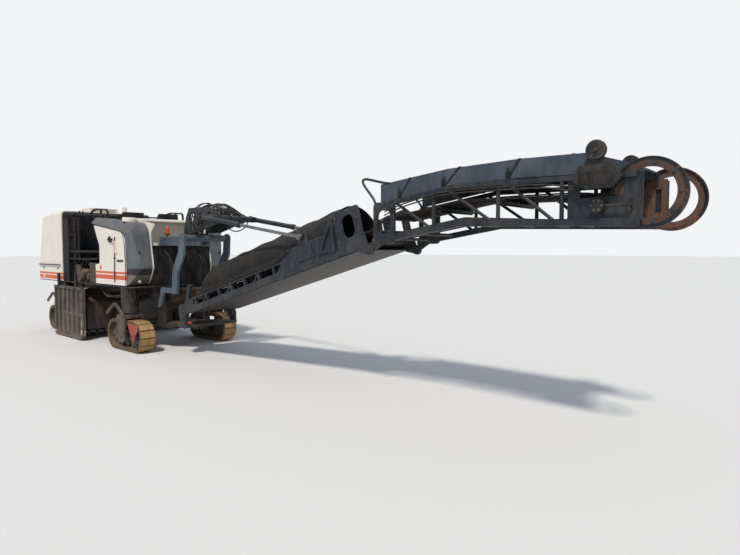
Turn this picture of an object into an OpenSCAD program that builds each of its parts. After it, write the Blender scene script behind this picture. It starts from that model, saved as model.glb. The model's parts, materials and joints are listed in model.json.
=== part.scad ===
// Cold planer milling machine on four tracks, with a two-part loading conveyor at the front.
// Millimetres. +X points to the conveyor's discharge end, +Y to the machine's left, +Z up.
// The origin is on the ground, under the middle of the whole machine. Inside each module x is
// measured from the front track axis, and place() moves it to the middle.

/* [Tracks] */
// Overall length of one track
track_len = 1580; // [1500:10:1640]
// Height of one track
track_h = 650; // [600:10:680]
// Width of one track
track_w = 300; // [260:10:320]
// Distance between the front and the rear track axes
wheelbase = 4200; // [4150:10:4500]
// Distance between the middles of the two front tracks
front_gauge = 1980; // [1900:10:2000]
// Distance between the middles of the two rear tracks
rear_gauge = 1560; // [1460:10:1580]
// Thickness of the track pads
shoe_t = 45; // [30:1:55]
// Thickness of the link belt under the pads
link_t = 35; // [25:1:45]
// Gap between two pads
shoe_gap = 14; // [8:1:30]
// Outer diameter of the lifting columns
column_d = 260; // [220:5:280]
// Thickness of a fork leg
fork_t = 40; // [25:1:45]

/* [Frame and body] */
// Width over the body panels
body_w = 2300; // [2260:10:2310]
// Height of the top of the main frame
deck_z = 1360; // [1340:10:1400]
// Height of the two long frame beams
frame_h = 200; // [160:10:210]
// How far the body reaches behind the rear track axis
rear_overhang = 680; // [600:10:700]
// Thickness of the body's sheet walls
panel_t = 25; // [15:1:30]
// Height of the seam between the hood and the lower rear panels
seam_z = 1820; // [1760:10:1860]
// Height of the hood at its rear edge
hood_rear_z = 2960; // [2900:10:2980]
// Height of the hood at its front edge
hood_front_z = 3110; // [3060:10:3140]
// Height of the operator's floor
floor_z = 1930; // [1900:10:1980]
// Height of the front tanks' top where it meets the nose
tank_z = 2700; // [2660:10:2740]
// Radius of the tanks' front top corner
tank_round = 330; // [250:10:360]
// How far the tank nose reaches ahead of the front track axis
nose_x = 462; // [440:2:480]

/* [Milling drum] */
// Cutting width
cut_w = 2000; // [1900:10:2020]
// Diameter over the tool tips
drum_d = 980; // [900:10:1000]
// How far the drum axis lies ahead of the rear track axis
drum_ahead = 1580; // [1560:10:1620]
// Ground clearance of the tool tips as parked
drum_gap = 30; // [15:1:60]
// Thickness of the drum housing's walls
housing_t = 40; // [20:1:45]

/* [Side plates] */
// Length of a side plate
plate_len = 1770; // [1600:10:1780]
// Height of the side plates' top edge
plate_top_z = 1250; // [1200:10:1270]
// Ground clearance of the side plates as parked
plate_gap = 20; // [15:1:60]
// Travel of the side plates
plate_lift = 300; // [200:10:300]
// Overall width of the machine over the side plates
machine_w = 2500; // [2490:2:2520]

/* [Conveyor] */
// Width over the conveyor's side rails
conv_w = 1120; // [1060:10:1130]
// Width of the belt
belt_w = 800; // [700:10:840]
// Thickness of the belt
belt_t = 14; // [10:1:18]
// Distance from the front track axis to the slewing axis
slew_x = 1000; // [990:5:1030]
// Distance from the slewing axis to the luffing pins
luff_ahead = 450; // [440:5:480]
// Height of the luffing pins
luff_z = 770; // [760:5:790]
// Level distance from the luffing pins to the folding pins
fold_run = 4950; // [4800:10:5100]
// Height gained from the luffing pins to the folding pins
fold_rise = 1360; // [1300:10:1420]
// Level distance from the folding pins to the middle of the head rings
head_run = 3540; // [3500:10:3700]
// Outer radius of the head rings
ring_r = 350; // [300:5:370]
// Height of the lower belt cover's side walls
cover_wall_h = 200; // [150:5:240]
// Rise of the lower belt cover's arch
cover_rise = 380; // [300:5:420]

/* [Hidden] */
$fn = 48;

// Clearances: a running fit on the radius, a seat between two pieces, and a free gap
fit = 0.08;
seat = 0.3;
free_gap = 8;

// Places along the machine, from the front track axis
rear_x = -wheelbase;
body_rear_x = rear_x - rear_overhang;
drum_x = rear_x + drum_ahead;
drum_r = drum_d / 2;
drum_z = drum_r + drum_gap;
body_y = body_w / 2;
bulkhead_x = -3240;
post_len = 360;
tank_rear_x = -1290;

// Track shape
track_r = track_h / 2;
track_half = track_len / 2 - track_r;
link_r = track_r - shoe_t;
link_in_r = link_r - link_t;
arc_shoes = 6;
flat_shoes = 6;
shoe_pitch = 2 * track_half / flat_shoes;
shoe_len = shoe_pitch - shoe_gap;
shoe_bite = 6;
// The pads on the ends sit a little lower, so that their corners stay inside the height
shoe_end_r = track_r - 3;
shoe_flat_r = sqrt(pow(shoe_end_r, 2) - pow(shoe_len / 2, 2));
end_step = 180 / arc_shoes;
track_reach = track_half + shoe_end_r * cos(max(0, end_step / 2 - asin(shoe_len / 2 / shoe_end_r)));

// Conveyor places: the fold pins lie at the end of the lower section's pin line
luff_x = slew_x + luff_ahead;
fold_x = luff_x + fold_run;
fold_z = luff_z + fold_rise;
conv_slope = atan2(fold_rise, fold_run);
conv_len = norm([fold_run, fold_rise]);
conv_y = conv_w / 2;
ring_x = fold_x + head_run;
ring_z = fold_z + 560;

// Middle of the whole machine, between the rear tracks' end and the head rings
mid_x = (ring_x + ring_r + rear_x - track_reach) / 2;

// The lifting columns of the front and the rear axle: x, y on the left side
front_column = [0, front_gauge / 2];
rear_column = [rear_x, rear_gauge / 2];

module place() translate([-mid_x, 0, 0]) children();

// A flat outline in x and z, made solid from y0 to y1
module xz(y0, y1) translate([0, y1, 0]) rotate([90, 0, 0]) linear_extrude(y1 - y0) children();

// The same on both sides of the machine
module both_sides() {
    children();
    mirror([0, 1, 0]) children();
}

module on_right() mirror([0, 1, 0]) children();

// A round bar along y
module y_bar(x, z, y0, y1, r) translate([x, y1, z]) rotate([90, 0, 0]) cylinder(r = r, h = y1 - y0);

// A round bar between two points
module rod(a, b, r) {
    d = b - a;
    translate(a) rotate([0, acos(d[2] / norm(d)), atan2(d[1], d[0])]) cylinder(r = r, h = norm(d));
}

// A flat bar outline between two points of the x and z plane
module bar_2d(p, q, w) {
    d = q - p;
    translate(p) rotate(atan2(d[1], d[0])) translate([0, -w / 2]) square([norm(d), w]);
}

// A bent flat bar outline with round knees, a hair wider than the bars
module path_2d(pts, w) {
    for (i = [0 : len(pts) - 2]) bar_2d(pts[i], pts[i + 1], w);
    for (i = [1 : len(pts) - 2]) translate(pts[i]) circle(r = w / 2 + seat);
}

// A rectangle with round corners, from its low corner
module round_rect(size, r) {
    translate([r, 0]) square([size[0] - 2 * r, size[1]]);
    translate([0, r]) square([size[0], size[1] - 2 * r]);
    for (x = [r, size[0] - r], z = [r, size[1] - r]) translate([x, z]) circle(r = r);
}

module box(low, high) translate(low) cube(high - low);

function unit(v) = v / norm(v);

// Half of the angle between the two sides that meet at q
function half_angle(p, q, s) = acos(unit(p - q) * unit(s - q)) / 2;

// Middle of the round corner at q, and the point where it meets the side towards p
function corner_mid(p, q, s, r) = q + unit(unit(p - q) + unit(s - q)) * r / sin(half_angle(p, q, s));
function corner_touch(p, q, s, r) = q + unit(p - q) * r / tan(half_angle(p, q, s));

// An outline with round outer corners. Its rows are x, y and the radius there
module round_poly(rows) {
    n = len(rows);
    function at(i) = [rows[(i + n) % n][0], rows[(i + n) % n][1]];
    polygon([for (i = [0 : n - 1], e = rows[i][2] > 0 ? [-1, 1] : [0])
        e == 0 ? at(i) : corner_touch(at(i + e), at(i), at(i - e), rows[i][2])]);
    for (i = [0 : n - 1]) if (rows[i][2] > 0)
        translate(corner_mid(at(i - 1), at(i), at(i + 1), rows[i][2])) circle(r = rows[i][2] + seat);
}

// Main frame
beam_y0 = 560;
beam_y1 = 680;
beam_z = deck_z - frame_h;
deck_t = 20;
deck_front_x = 450;
tube_wall = 42;
tube_z = 800;
tube_r = column_d / 2 + tube_wall;
column_top_z = deck_z - deck_t - 20;
tongue_z = 480;
tongue_t = 80;
pivot_r = 70;
cheek_y0 = 440;
cheek_y1 = 500;
cheek_rear_x = 150;
lug_t = 30;
lug_hole_r = 32;
lug_z = beam_z - 60;
lug_r = 70;
lug_xs = [body_rear_x + 130, 340];
// Lift cylinders of the side plates
lift_y = machine_w / 2 - 36;
lift_r = 34;
lift_rod_r = 20;
lift_z0 = plate_top_z - 80;
lift_z1 = lift_z0 + plate_lift + 80;
lift_xs = [drum_x - 730, drum_x + 340];
lift_bracket = 30;
lift_bite = 50;
// Notches of the side plates that pass the lift cylinders
notch_half = lift_r + free_gap;
notch_z = lift_z0 - plate_lift - free_gap;

// Guide tube of a lifting column, with ribs up to the deck plate
module column_guide(c) translate([c[0], c[1], 0]) difference() {
    union() {
        translate([0, 0, tube_z]) cylinder(r = tube_r, h = deck_z - deck_t - tube_z);
        for (a = [0, 180]) rotate(a) xz(-10, 10) polygon([[0, tube_z + 230], [tube_r + 20, tube_z + 230],
            [tube_r + 90, tube_z + 330], [tube_r + 90, deck_z - deck_t], [0, deck_z - deck_t]]);
    }
    translate([0, 0, tube_z - 1]) cylinder(r = column_d / 2 + fit, h = deck_z - deck_t - tube_z + 2);
}

module lift_barrel(x) {
    box([x - lift_bracket, body_y - 50, deck_z - deck_t], [x + lift_bracket, lift_y, deck_z]);
    translate([x, lift_y, lift_z0]) cylinder(r = lift_r, h = lift_z1 - lift_z0);
}

module main_frame() place() color("dimgray") difference() {
    union() {
        both_sides() {
            box([body_rear_x + 20, beam_y0, beam_z], [deck_front_x, beam_y1, deck_z - deck_t]);
            for (c = [front_column, rear_column])
                box([c[0] - 120, beam_y0, beam_z], [c[0] + 120, c[1], deck_z - deck_t]);
            box([cheek_rear_x, cheek_y0, tongue_z], [deck_front_x + 50, cheek_y1, deck_z - deck_t]);
            for (x = lift_xs) lift_barrel(x);
        }
        box([body_rear_x + 20, -body_y, deck_z - deck_t], [deck_front_x + 50, body_y, deck_z]);
        box([body_rear_x + 20, -beam_y0, beam_z], [body_rear_x + 140, beam_y0, deck_z - deck_t]);
        // Tongue with the lower slewing eye
        translate([0, 0, tongue_z]) linear_extrude(tongue_t) {
            polygon([[cheek_rear_x, -cheek_y1], [cheek_rear_x + 260, -cheek_y1], [slew_x, -150],
                [slew_x, 150], [cheek_rear_x + 260, cheek_y1], [cheek_rear_x, cheek_y1]]);
            translate([slew_x, 0]) circle(r = 150);
        }
    }
    both_sides() {
        // Room for the guide tubes under the deck plate
        for (c = [front_column, rear_column]) translate([c[0], c[1], beam_z - 1])
            cylinder(r = tube_r + seat, h = deck_z - deck_t - beam_z + 1);
        for (x = lift_xs) translate([x, lift_y, lift_z0 - 1])
            cylinder(r = lift_rod_r + fit, h = lift_z1 - lift_z0 - 19);
        y_bar(primary_pin[0], primary_pin[1], cheek_y0 - 1, cheek_y1 + 1, primary_pin_r + seat);
    }
    translate([slew_x, 0, tongue_z - 1]) cylinder(r = pivot_r, h = tongue_t + 2);
}

module column_guides() place() color("dimgray") both_sides()
    for (c = [front_column, rear_column]) column_guide(c);

// Lashing eyes: plates under the frame beams, near both ends
module lashing_lugs() place() color("dimgray") both_sides() for (x = lug_xs)
    xz(beam_y1 - lug_t, beam_y1) difference() {
        union() {
            translate([x, lug_z]) circle(r = lug_r);
            translate([x - lug_r, lug_z]) square([2 * lug_r, beam_z - lug_z]);
        }
        translate([x, lug_z]) circle(r = lug_hole_r);
        translate([x - lug_r, beam_z]) square([2 * lug_r, lug_r]);
    }

// Drum housing
housing_r = drum_r + 70;
housing_x = housing_r + housing_t;
housing_y = cut_w / 2 + 40;
housing_low = 250;
shaft_r = 90;
mouth_y = 330;
mouth_z = 640;

module drum_housing() place() color("darkslategray") difference() {
    union() {
        xz(-housing_y - housing_t, housing_y + housing_t) translate([drum_x, 0]) {
            translate([-housing_x, housing_low]) square([2 * housing_x, drum_z - housing_low]);
            difference() {
                translate([-housing_x, drum_z - 1]) square([2 * housing_x, beam_z - drum_z + 1]);
                for (s = [-1, 1]) translate([s * (housing_x + 60), beam_z + 60]) circle(r = 330);
            }
        }
        // Guide posts of the side plates
        both_sides() for (x = [drum_x - 560, drum_x + 400])
            box([x, housing_y + housing_t - 5, housing_low + 60],
                [x + 90, plate_y - free_gap, deck_z - deck_t - seat]);
    }
    y_bar(drum_x, drum_z, -housing_y, housing_y, housing_r);
    box([drum_x - housing_r, -housing_y, 0], [drum_x + housing_r, housing_y, drum_z]);
    both_sides() y_bar(drum_x, drum_z, housing_y - 1, housing_y + housing_t + 1, shaft_r + fit);
    box([drum_x, -mouth_y, housing_low - 1], [drum_x + housing_x + 1, mouth_y, mouth_z]);
}

module scraper_blade() place() color("dimgray") {
    x = drum_x - housing_x - seat;
    box([x - 25, -housing_y, 60], [x, housing_y, 620]);
    box([x - 45, -housing_y, 40], [x, housing_y, 110]);
    for (i = [-3 : 3]) xz(i * 300 - 10, i * 300 + 10)
        polygon([[x - 20, 100], [x - 60, 130], [x - 60, 420], [x - 20, 600]]);
}

// Lower rear panels
module rear_body() place() color("ivory") difference() {
    box([body_rear_x, -body_y, deck_z], [hood_front_x, body_y, seam_z]);
    box([body_rear_x + panel_t, -body_y + panel_t, deck_z - 1],
        [bulkhead_x, body_y - panel_t, seam_z + 1]);
}

module engine_block() place() color("gray")
    box([body_rear_x + 300, -450, deck_z], [bulkhead_x - 160, 450, 2450]);

// Engine hood: rear top corner and the hinge at the front top edge
hood_rear_top_x = body_rear_x + 320;
hood_front_x = bulkhead_x - 35;
hood_hinge = [bulkhead_x + 10, hood_front_z - 15];
hood_eye_r = 25;
hood_pin_r = 15;
hood_hinge_ys = [-700, 700];
knuckle_r = 30;
hood_corner_r = 110;
// Air intake box and exhaust stack on the hood
intake_x = -4060;
intake_len = 560;
intake_y = 360;
intake_h = 120;
intake_slots = 3;
stack_at = [-3560, 560];
stack_r = 62;

module hood_side(t) polygon([[body_rear_x + 20 + t, seam_z + seat - (t > 0 ? 9 : 0)],
    [hood_rear_top_x + t, hood_rear_z - t], [hood_front_x - 160, hood_front_z - t],
    [hood_front_x + (t > 0 ? 9 : 0), hood_front_z - t],
    [hood_front_x + (t > 0 ? 9 : 0), seam_z + seat - (t > 0 ? 9 : 0)]]);

// Cross-section outline in y and z with round top corners
module hood_section(t) {
    w = body_y - t;
    top = hood_front_z - t;
    r = hood_corner_r - t;
    translate([-w, seam_z - 60]) square([2 * w, top - r - seam_z + 60]);
    translate([-w + r, seam_z - 60]) square([2 * (w - r), top - seam_z + 60]);
    for (s = [-1, 1]) translate([s * (w - r), top - r]) circle(r = r);
}

module hood_form(t) intersection() {
    xz(-body_y, body_y) hood_side(t);
    translate([body_rear_x - 100, 0, 0]) rotate([90, 0, 90])
        linear_extrude(hood_front_x - body_rear_x + 300) hood_section(t);
}

module engine_hood() place() color("ivory") {
    difference() {
        hood_form(0);
        hood_form(panel_t);
        // Openings of the cooling air in the rear wall
        for (i = [0 : 8]) box([body_rear_x - 100, -800, seam_z + 130 + i * 80],
            [body_rear_x + 330, 800, seam_z + 180 + i * 80]);
    }
    // Air intake box on the hood, and its stack
    difference() {
        box([intake_x, -intake_y, hood_front_z - panel_t - 60],
            [intake_x + intake_len, intake_y, hood_front_z + intake_h]);
        for (i = [0 : intake_slots - 1])
            box([intake_x - 1, 60 - intake_y, hood_front_z + 20 + i * 32],
                [intake_x + intake_len + 1, intake_y - 60, hood_front_z + 34 + i * 32]);
    }
    translate([stack_at[0], stack_at[1], hood_front_z - panel_t - 40]) cylinder(r = stack_r, h = 250);
    for (y = hood_hinge_ys) {
        xz(y - 20, y + 20) {
            translate(hood_hinge) circle(r = knuckle_r);
            translate([hood_front_x - 40, hood_front_z - panel_t])
                square([hood_hinge[0] - hood_front_x + 40, panel_t - 5]);
        }
        y_bar(hood_hinge[0], hood_hinge[1], y - 60, y + 60, hood_pin_r);
    }
}

// Rear face of the wall between the operator and the front deck
wall_x = -490;
post_y = 900;
guard_y = body_y - 55;
guard_z = 2090;
// Pipes beside the post: x, y, radius, the clip's height and the lower end
post_pipes = [[-2690, 1060, 34, 2700, deck_z], [-2560, 1085, 26, 2500, 1860], [-2420, 1060, 34, 2620, 1860]];

// Operator's platform: floor, rear bulkhead, side posts and the wall under the tanks' rear
module platform() place() color("dimgray") {
    difference() {
        union() {
            box([bulkhead_x, -post_y, deck_z], [bulkhead_x + 25, post_y, hood_front_z - 90]);
            for (y = hood_hinge_ys, s = [-1, 1]) xz(y + s * 40 - 12, y + s * 40 + 12) {
                path_2d([hood_hinge, hood_hinge + [0, -60], [bulkhead_x + 12, hood_front_z - 130]], 2 * hood_eye_r);
                translate(hood_hinge) circle(r = hood_eye_r + seat);
            }
        }
        for (y = hood_hinge_ys)
            y_bar(hood_hinge[0], hood_hinge[1], y - 70, y + 70, hood_pin_r + fit);
    }
    both_sides() {
        box([bulkhead_x, post_y, deck_z], [bulkhead_x + post_len, body_y - 10, post_top_z]);
        // Guard bar across the side opening, and the pipes beside the post
        rod([bulkhead_x + post_len - 10, guard_y, guard_z], [tank_waist_x - seat, guard_y, guard_z], 25);
        for (p = post_pipes) {
            translate([p[0], p[1], p[4]]) cylinder(r = p[2], h = post_top_z - p[4]);
            rod([bulkhead_x + post_len - 10, p[1], p[3]], [p[0], p[1], p[3]], 14);
        }
    }
    box([bulkhead_x + 25, -body_y + 20, floor_z - 30], [tank_rear_x - 10, body_y - 20, floor_z]);
    box([tank_rear_x - 10, -deck_box_y, floor_z - 30], [wall_x - seat, deck_box_y, floor_z]);
    box([tank_rear_x - 60, -deck_box_y, deck_z], [tank_rear_x - 20, deck_box_y, floor_z - 30]);
}

// Seat and console for each side
module operator_station() place() color("darkslategray") both_sides() translate([0, 430, 0]) {
    box([-1900, -90, floor_z], [-1720, 90, floor_z + 380]);
    box([-2000, -230, floor_z + 380], [-1520, 230, floor_z + 480]);
    xz(-220, 220) polygon([[-2000, floor_z + 480], [-1900, floor_z + 480],
        [-1960, floor_z + 960], [-2060, floor_z + 960]]);
    box([-1130, -160, floor_z], [-1000, 160, floor_z + 760]);
    xz(-230, 230) polygon([[-1290, floor_z + 760], [-960, floor_z + 760], [-900, floor_z + 1060],
        [-980, floor_z + 1060]]);
}

rail_w = 36;
rail_y = 905;
post_top_z = 2910;
// Top rail from the post to the tank, and the hand loop on it, as x and z
rail_pts = [[-3060, post_top_z + seat], [-3060, 3015], [-1420, 2925], [-1420, 2866]];
loop_pts = [[-2080, 2961], [-1960, 3045], [-1721, 3075], [-1200, 3040], [-1140, 2990], [-1140, 2840]];
module handrails() place() color("black") both_sides() xz(rail_y, rail_y + rail_w) {
    path_2d(rail_pts, rail_w);
    path_2d(loop_pts, rail_w);
    bar_2d([-1500, 2929], [-1500, 3050], rail_w);
}

// Front tanks: side outline, plan outline and end outline cut each other
tank_y0 = 700;
tank_y1 = body_y - panel_t - seat;
tank_plan_r = 330;
tank_waist_x = -1070;
step_z = 1800;
// The tanks' tops fall towards the front, and their rear ends reach over the platform
top_rear = [-1700, 2880];
top_front = [283, tank_z - 6];
top_slope = atan2(top_rear[1] - top_front[1], top_front[0] - top_rear[0]);
chamfer = [165, 230];
nose_rows = [[tank_rear_x, 1400, 0], [nose_x - 232, 1400, 0], [nose_x - 132, 1515, 60], [nose_x, 1760, 60],
    [top_front[0], top_front[1], tank_round], [top_rear[0], top_rear[1], 0], [top_rear[0], 2745, 0],
    [-1342, 2690, 0], [tank_waist_x, 2240, 0], [tank_waist_x, step_z + 20, 0], [tank_rear_x, step_z, 0]];

module tank() place() intersection() {
    xz(tank_y0, tank_y1) round_poly(nose_rows);
    linear_extrude(3000) {
        translate([top_rear[0] - 1, tank_y0]) square([nose_x - tank_plan_r - top_rear[0] + 1, tank_y1 - tank_y0]);
        intersection() {
            translate([tank_rear_x, tank_y0]) square([nose_x + 1 - tank_rear_x, tank_y1 - tank_y0]);
            translate([nose_x - tank_plan_r, tank_y1 - tank_plan_r]) circle(r = tank_plan_r);
        }
        translate([0, tank_y0]) square([nose_x, tank_y1 - tank_plan_r - tank_y0]);
    }
    // End outline with the long chamfer, along the sloping top
    translate([top_rear[0], 0, top_rear[1]]) rotate([0, top_slope, 0]) translate([-400, 0, 0])
        rotate([90, 0, 90]) linear_extrude(3200) polygon([[tank_y0 - 1, -1800], [tank_y1 + 1, -1800],
            [tank_y1 + 1, -chamfer[1]], [tank_y1 - chamfer[0], 0], [tank_y1 - 2 * chamfer[0], chamfer[1]],
            [tank_y0 - 1, chamfer[1]]]);
}

module tank_left() color("slategray") tank();
module tank_right() color("slategray") on_right() tank();

// Side panels over the tanks: rows are x, z and the corner's radius
side_rows = [[tank_rear_x - 5, deck_z + 20, 0], [nose_x - 292, deck_z + 20, 0], [nose_x - 292, 1650, 0],
    [nose_x - 320, 2150, 0], [nose_x - 345, 2481, 260], [-1350, 2682, 0], [tank_waist_x - 22, 2240, 0],
    [tank_waist_x - 22, step_z + 26, 0], [tank_rear_x - 5, step_z + 6, 0]];
module side_panel() place() {
    xz(body_y - panel_t, body_y) round_poly(side_rows);
    // Grab handle
    xz(body_y, body_y + 30) translate([-260, 2060]) difference() {
        round_rect([60, 260], 20);
        translate([15, 15]) round_rect([30, 230], 10);
    }
}

module side_panel_left() color("ivory") side_panel();
module side_panel_right() color("ivory") on_right() side_panel();

// Front deck between the tanks, closed in front by the dark bulkhead
deck_box_z = 2220;
deck_box_y = 680;
module front_deck() place() color("darkslategray") {
    box([-450, -deck_box_y, deck_z], [430, deck_box_y, deck_box_z - 20]);
    box([-450, -deck_box_y, deck_box_z - 20], [460, deck_box_y, deck_box_z]);
    // Feet that carry the tanks on the frame
    both_sides() for (x = [tank_rear_x + 60, -600, nose_x - 462])
        box([x, tank_y0 + 20, deck_z], [x + 200, tank_y1 - 60, 1400 - seat]);
}

// White fins beside the tanks, with a horn at the top: rows are x, z and the corner's radius
fin_rows = [[wall_x - 10, 1400, 0], [nose_x - 226, 1400, 0], [nose_x - 114, 1510, 80], [nose_x + 22, 1765, 80],
    [nose_x - 84, 2300, 0], [nose_x - 84, 2480, 0], [nose_x + 74, 2640, 12], [nose_x + 64, 2676, 12],
    [-205, 2790, 0], [wall_x - 10, 2812, 0]];
fin_y0 = deck_box_y + seat;
module front_wall() place() color("ivory") {
    box([wall_x, -fin_y0 - 1, floor_z], [-450 - seat, fin_y0 + 1, 2800]);
    both_sides() xz(fin_y0, tank_y0 - seat) difference() {
        round_poly(fin_rows);
        translate([nose_x + 12, 2635]) circle(r = 22);
    }
    // Cover ahead of the consoles
    xz(-fin_y0 - 1, fin_y0 + 1) polygon([[-870, 2836], [wall_x + 1, 2798], [-205, 2762], [-205, 2784],
        [wall_x + 1, 2822], [-870, 2860]]);
}

cap_x = -205;
cap_y = 865;
module filler_caps() place() color("ivory") both_sides()
    translate([cap_x, cap_y, top_rear[1] - (cap_x - top_rear[0]) * tan(top_slope) + seat]) rotate([0, top_slope, 0]) {
        cylinder(r = 150, h = 62);
        translate([0, 0, 62]) cylinder(r1 = 150, r2 = 128, h = 22);
    }

// Struts that carry the upper slewing eye: knees in x and z
strut_pts = [[1035, 1240], [1078, 1672], [1325, 2060], [1350, 2372]];
strut_w = 200;
strut_y0 = cheek_y1 + seat;
strut_y1 = strut_y0 + 50;
// Foot of a strut on the cheek, clear of the slewed conveyor's tail, and the cross tube between the strut tops
foot_pts = [[350, 1200], [350, 900], [480, 925], [610, 1228], [1136, 1228], [1136, 1335], [480, 1335]];
tube_x = 1350;
cross_z = 2372;
cross_r = 68;
top_eye_z = 2330;
top_eye_t = 80;
top_pin_r = 60;
module front_struts() place() color("slategray") difference() {
    union() {
        both_sides() {
            xz(strut_y0, strut_y1) {
                path_2d(strut_pts, strut_w);
                translate([tube_x, cross_z]) circle(r = strut_w / 2);
                polygon(foot_pts);
            }
            box([deck_front_x - 400, 250, deck_box_z], [slew_x, 330, top_eye_z]);
        }
        y_bar(tube_x, cross_z, -strut_y0 - 1, strut_y0 + 1, cross_r);
        translate([0, 0, top_eye_z]) linear_extrude(top_eye_t) {
            translate([slew_x - 150, -200]) square([tube_x - slew_x + 130, 400]);
            translate([deck_front_x - 400, 250]) square([slew_x - deck_front_x + 400, 80]);
            translate([deck_front_x - 400, -330]) square([slew_x - deck_front_x + 400, 80]);
            translate([slew_x - 150, -330]) square([160, 660]);
        }
    }
    translate([slew_x, 0, top_eye_z - 1]) cylinder(r = top_pin_r, h = top_eye_t + 2);
}

// Primary conveyor under the machine: tail and head in x and z
primary_tail = [drum_x + housing_x + 130, 430];
primary_head = [940, 1250];
primary_y = 400;
primary_pulley_r = 85;
primary_pin = [330, 1075];
primary_pin_r = 30;
module primary_frame() place() color("dimgray") {
    both_sides() {
        xz(primary_y - 30, primary_y) {
            polygon([[drum_x + housing_x, 330], [drum_x + housing_x + 200, 330],
                primary_head + [0, -100], primary_head + [0, 100], [drum_x + housing_x, 620]]);
            translate(primary_head) circle(r = 100);
        }
        y_bar(primary_pin[0], primary_pin[1], primary_y - 20, cheek_y1, primary_pin_r);
    }
    for (p = [0.12, 0.4, 0.7]) let (c = primary_tail + p * (primary_head - primary_tail))
        y_bar(c[0], c[1], -primary_y + 10, primary_y - 10, 25);
    for (c = [primary_tail, primary_head])
        y_bar(c[0], c[1], -primary_y + 20, primary_y - 20, primary_pulley_r - belt_t - seat);
}

primary_rise = primary_head - primary_tail;
module primary_belt() place() color("saddlebrown") xz(-primary_y + 50, primary_y - 50)
    translate(primary_tail) rotate(atan2(primary_rise[1], primary_rise[0])) {
        for (s = [-1, 1]) translate([s < 0 ? 0 : norm(primary_rise), 0]) difference() {
            circle(r = primary_pulley_r);
            circle(r = primary_pulley_r - belt_t);
            translate([s < 0 ? 0 : -primary_pulley_r, -primary_pulley_r])
                square([primary_pulley_r, 2 * primary_pulley_r]);
        }
        for (z = [-primary_pulley_r, primary_pulley_r - belt_t]) translate([0, z])
            square([norm(primary_rise), belt_t]);
    }

// Pumps and oil tanks beside the engine bay: x, half length, height, y0, y1
drive_boxes = [[-2480, 130, 420, 760, 1080], [-1560, 170, 480, 720, 1110]];
// Round pump bodies: x, z, radius, y0, y1
drive_pumps = [[-2130, 1560, 120, 800, 1125], [-1880, 1500, 85, 760, 1100], [-2130, 1560, 60, 700, 1135]];
module side_drives() place() color("saddlebrown") both_sides() {
    for (b = drive_boxes) box([b[0] - b[1], b[3], deck_z], [b[0] + b[1], b[4], deck_z + b[2]]);
    for (p = drive_pumps) {
        y_bar(p[0], p[1], p[3], p[4], p[2]);
        box([p[0] - p[2] / 2, p[3] + 40, deck_z], [p[0] + p[2] / 2, p[4] - 60, p[1]]);
    }
}

module beacon() place() color("orangered") translate([100, -170, deck_box_z]) {
    cylinder(r = 60, h = 12);
    cylinder(r = 16, h = 250);
    translate([0, 0, 240]) cylinder(r = 62, h = 30);
    translate([0, 0, 270]) cylinder(r = 52, h = 110);
    translate([0, 0, 380]) sphere(r = 52);
}

// Work lamps on the struts and tail lamps on the rear panels
module lamps() place() color("gold") both_sides() {
    box([body_rear_x - 30, 930, 1560], [body_rear_x, 1050, 1700]);
    box([380, 560, deck_box_z], [420, 640, deck_box_z + 60]);
}

// Tracks
module stadium(r) {
    translate([-track_half, -r]) square([2 * track_half, 2 * r]);
    for (s = [-1, 1]) translate([s * track_half, 0]) circle(r = r);
}

module track_outline() {
    difference() {
        stadium(link_r);
        stadium(link_in_r);
    }
    for (s = [-1, 1], i = [0 : flat_shoes - 1])
        translate([(i - (flat_shoes - 1) / 2) * shoe_pitch, s * (track_r + link_r - shoe_bite) / 2])
            square([shoe_len, track_r - link_r + shoe_bite], center = true);
    for (s = [-1, 1], i = [0 : arc_shoes - 1])
        translate([s * track_half, 0]) rotate(90 - s * 90 - 90 + (i + 0.5) * end_step)
            translate([(shoe_flat_r + link_r - shoe_bite) / 2, 0])
                square([shoe_flat_r - link_r + shoe_bite, shoe_len], center = true);
}

module track(c) place() translate([c[0], c[1], track_r]) color("darkkhaki")
    xz(-track_w / 2, track_w / 2) track_outline();

module track_front_left() track(front_column);
module track_front_right() on_right() track(front_column);
module track_rear_left() track(rear_column);
module track_rear_right() on_right() track(rear_column);

// Track legs: lifting column, fork over the track, and the track's frame with its wheels
wheel_w = 150;
fork_y = track_w / 2 + 15;
fork_w = 340;
fork_low = 200;
bridge_z = track_h + 40;
bridge_h = 70;
roller_r = 75;
axle_r = 45;
guard_pts = [[235, 275], [690, 262], [650, 130], [446, -82], [310, 120]];
// Steering bracket above the track, as x and z
arm_pts = [[-640, 770], [-310, 970], [-200, 970], [120, bridge_z + 60]];
arm_w = 70;
wheel_holes = 6;

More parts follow.
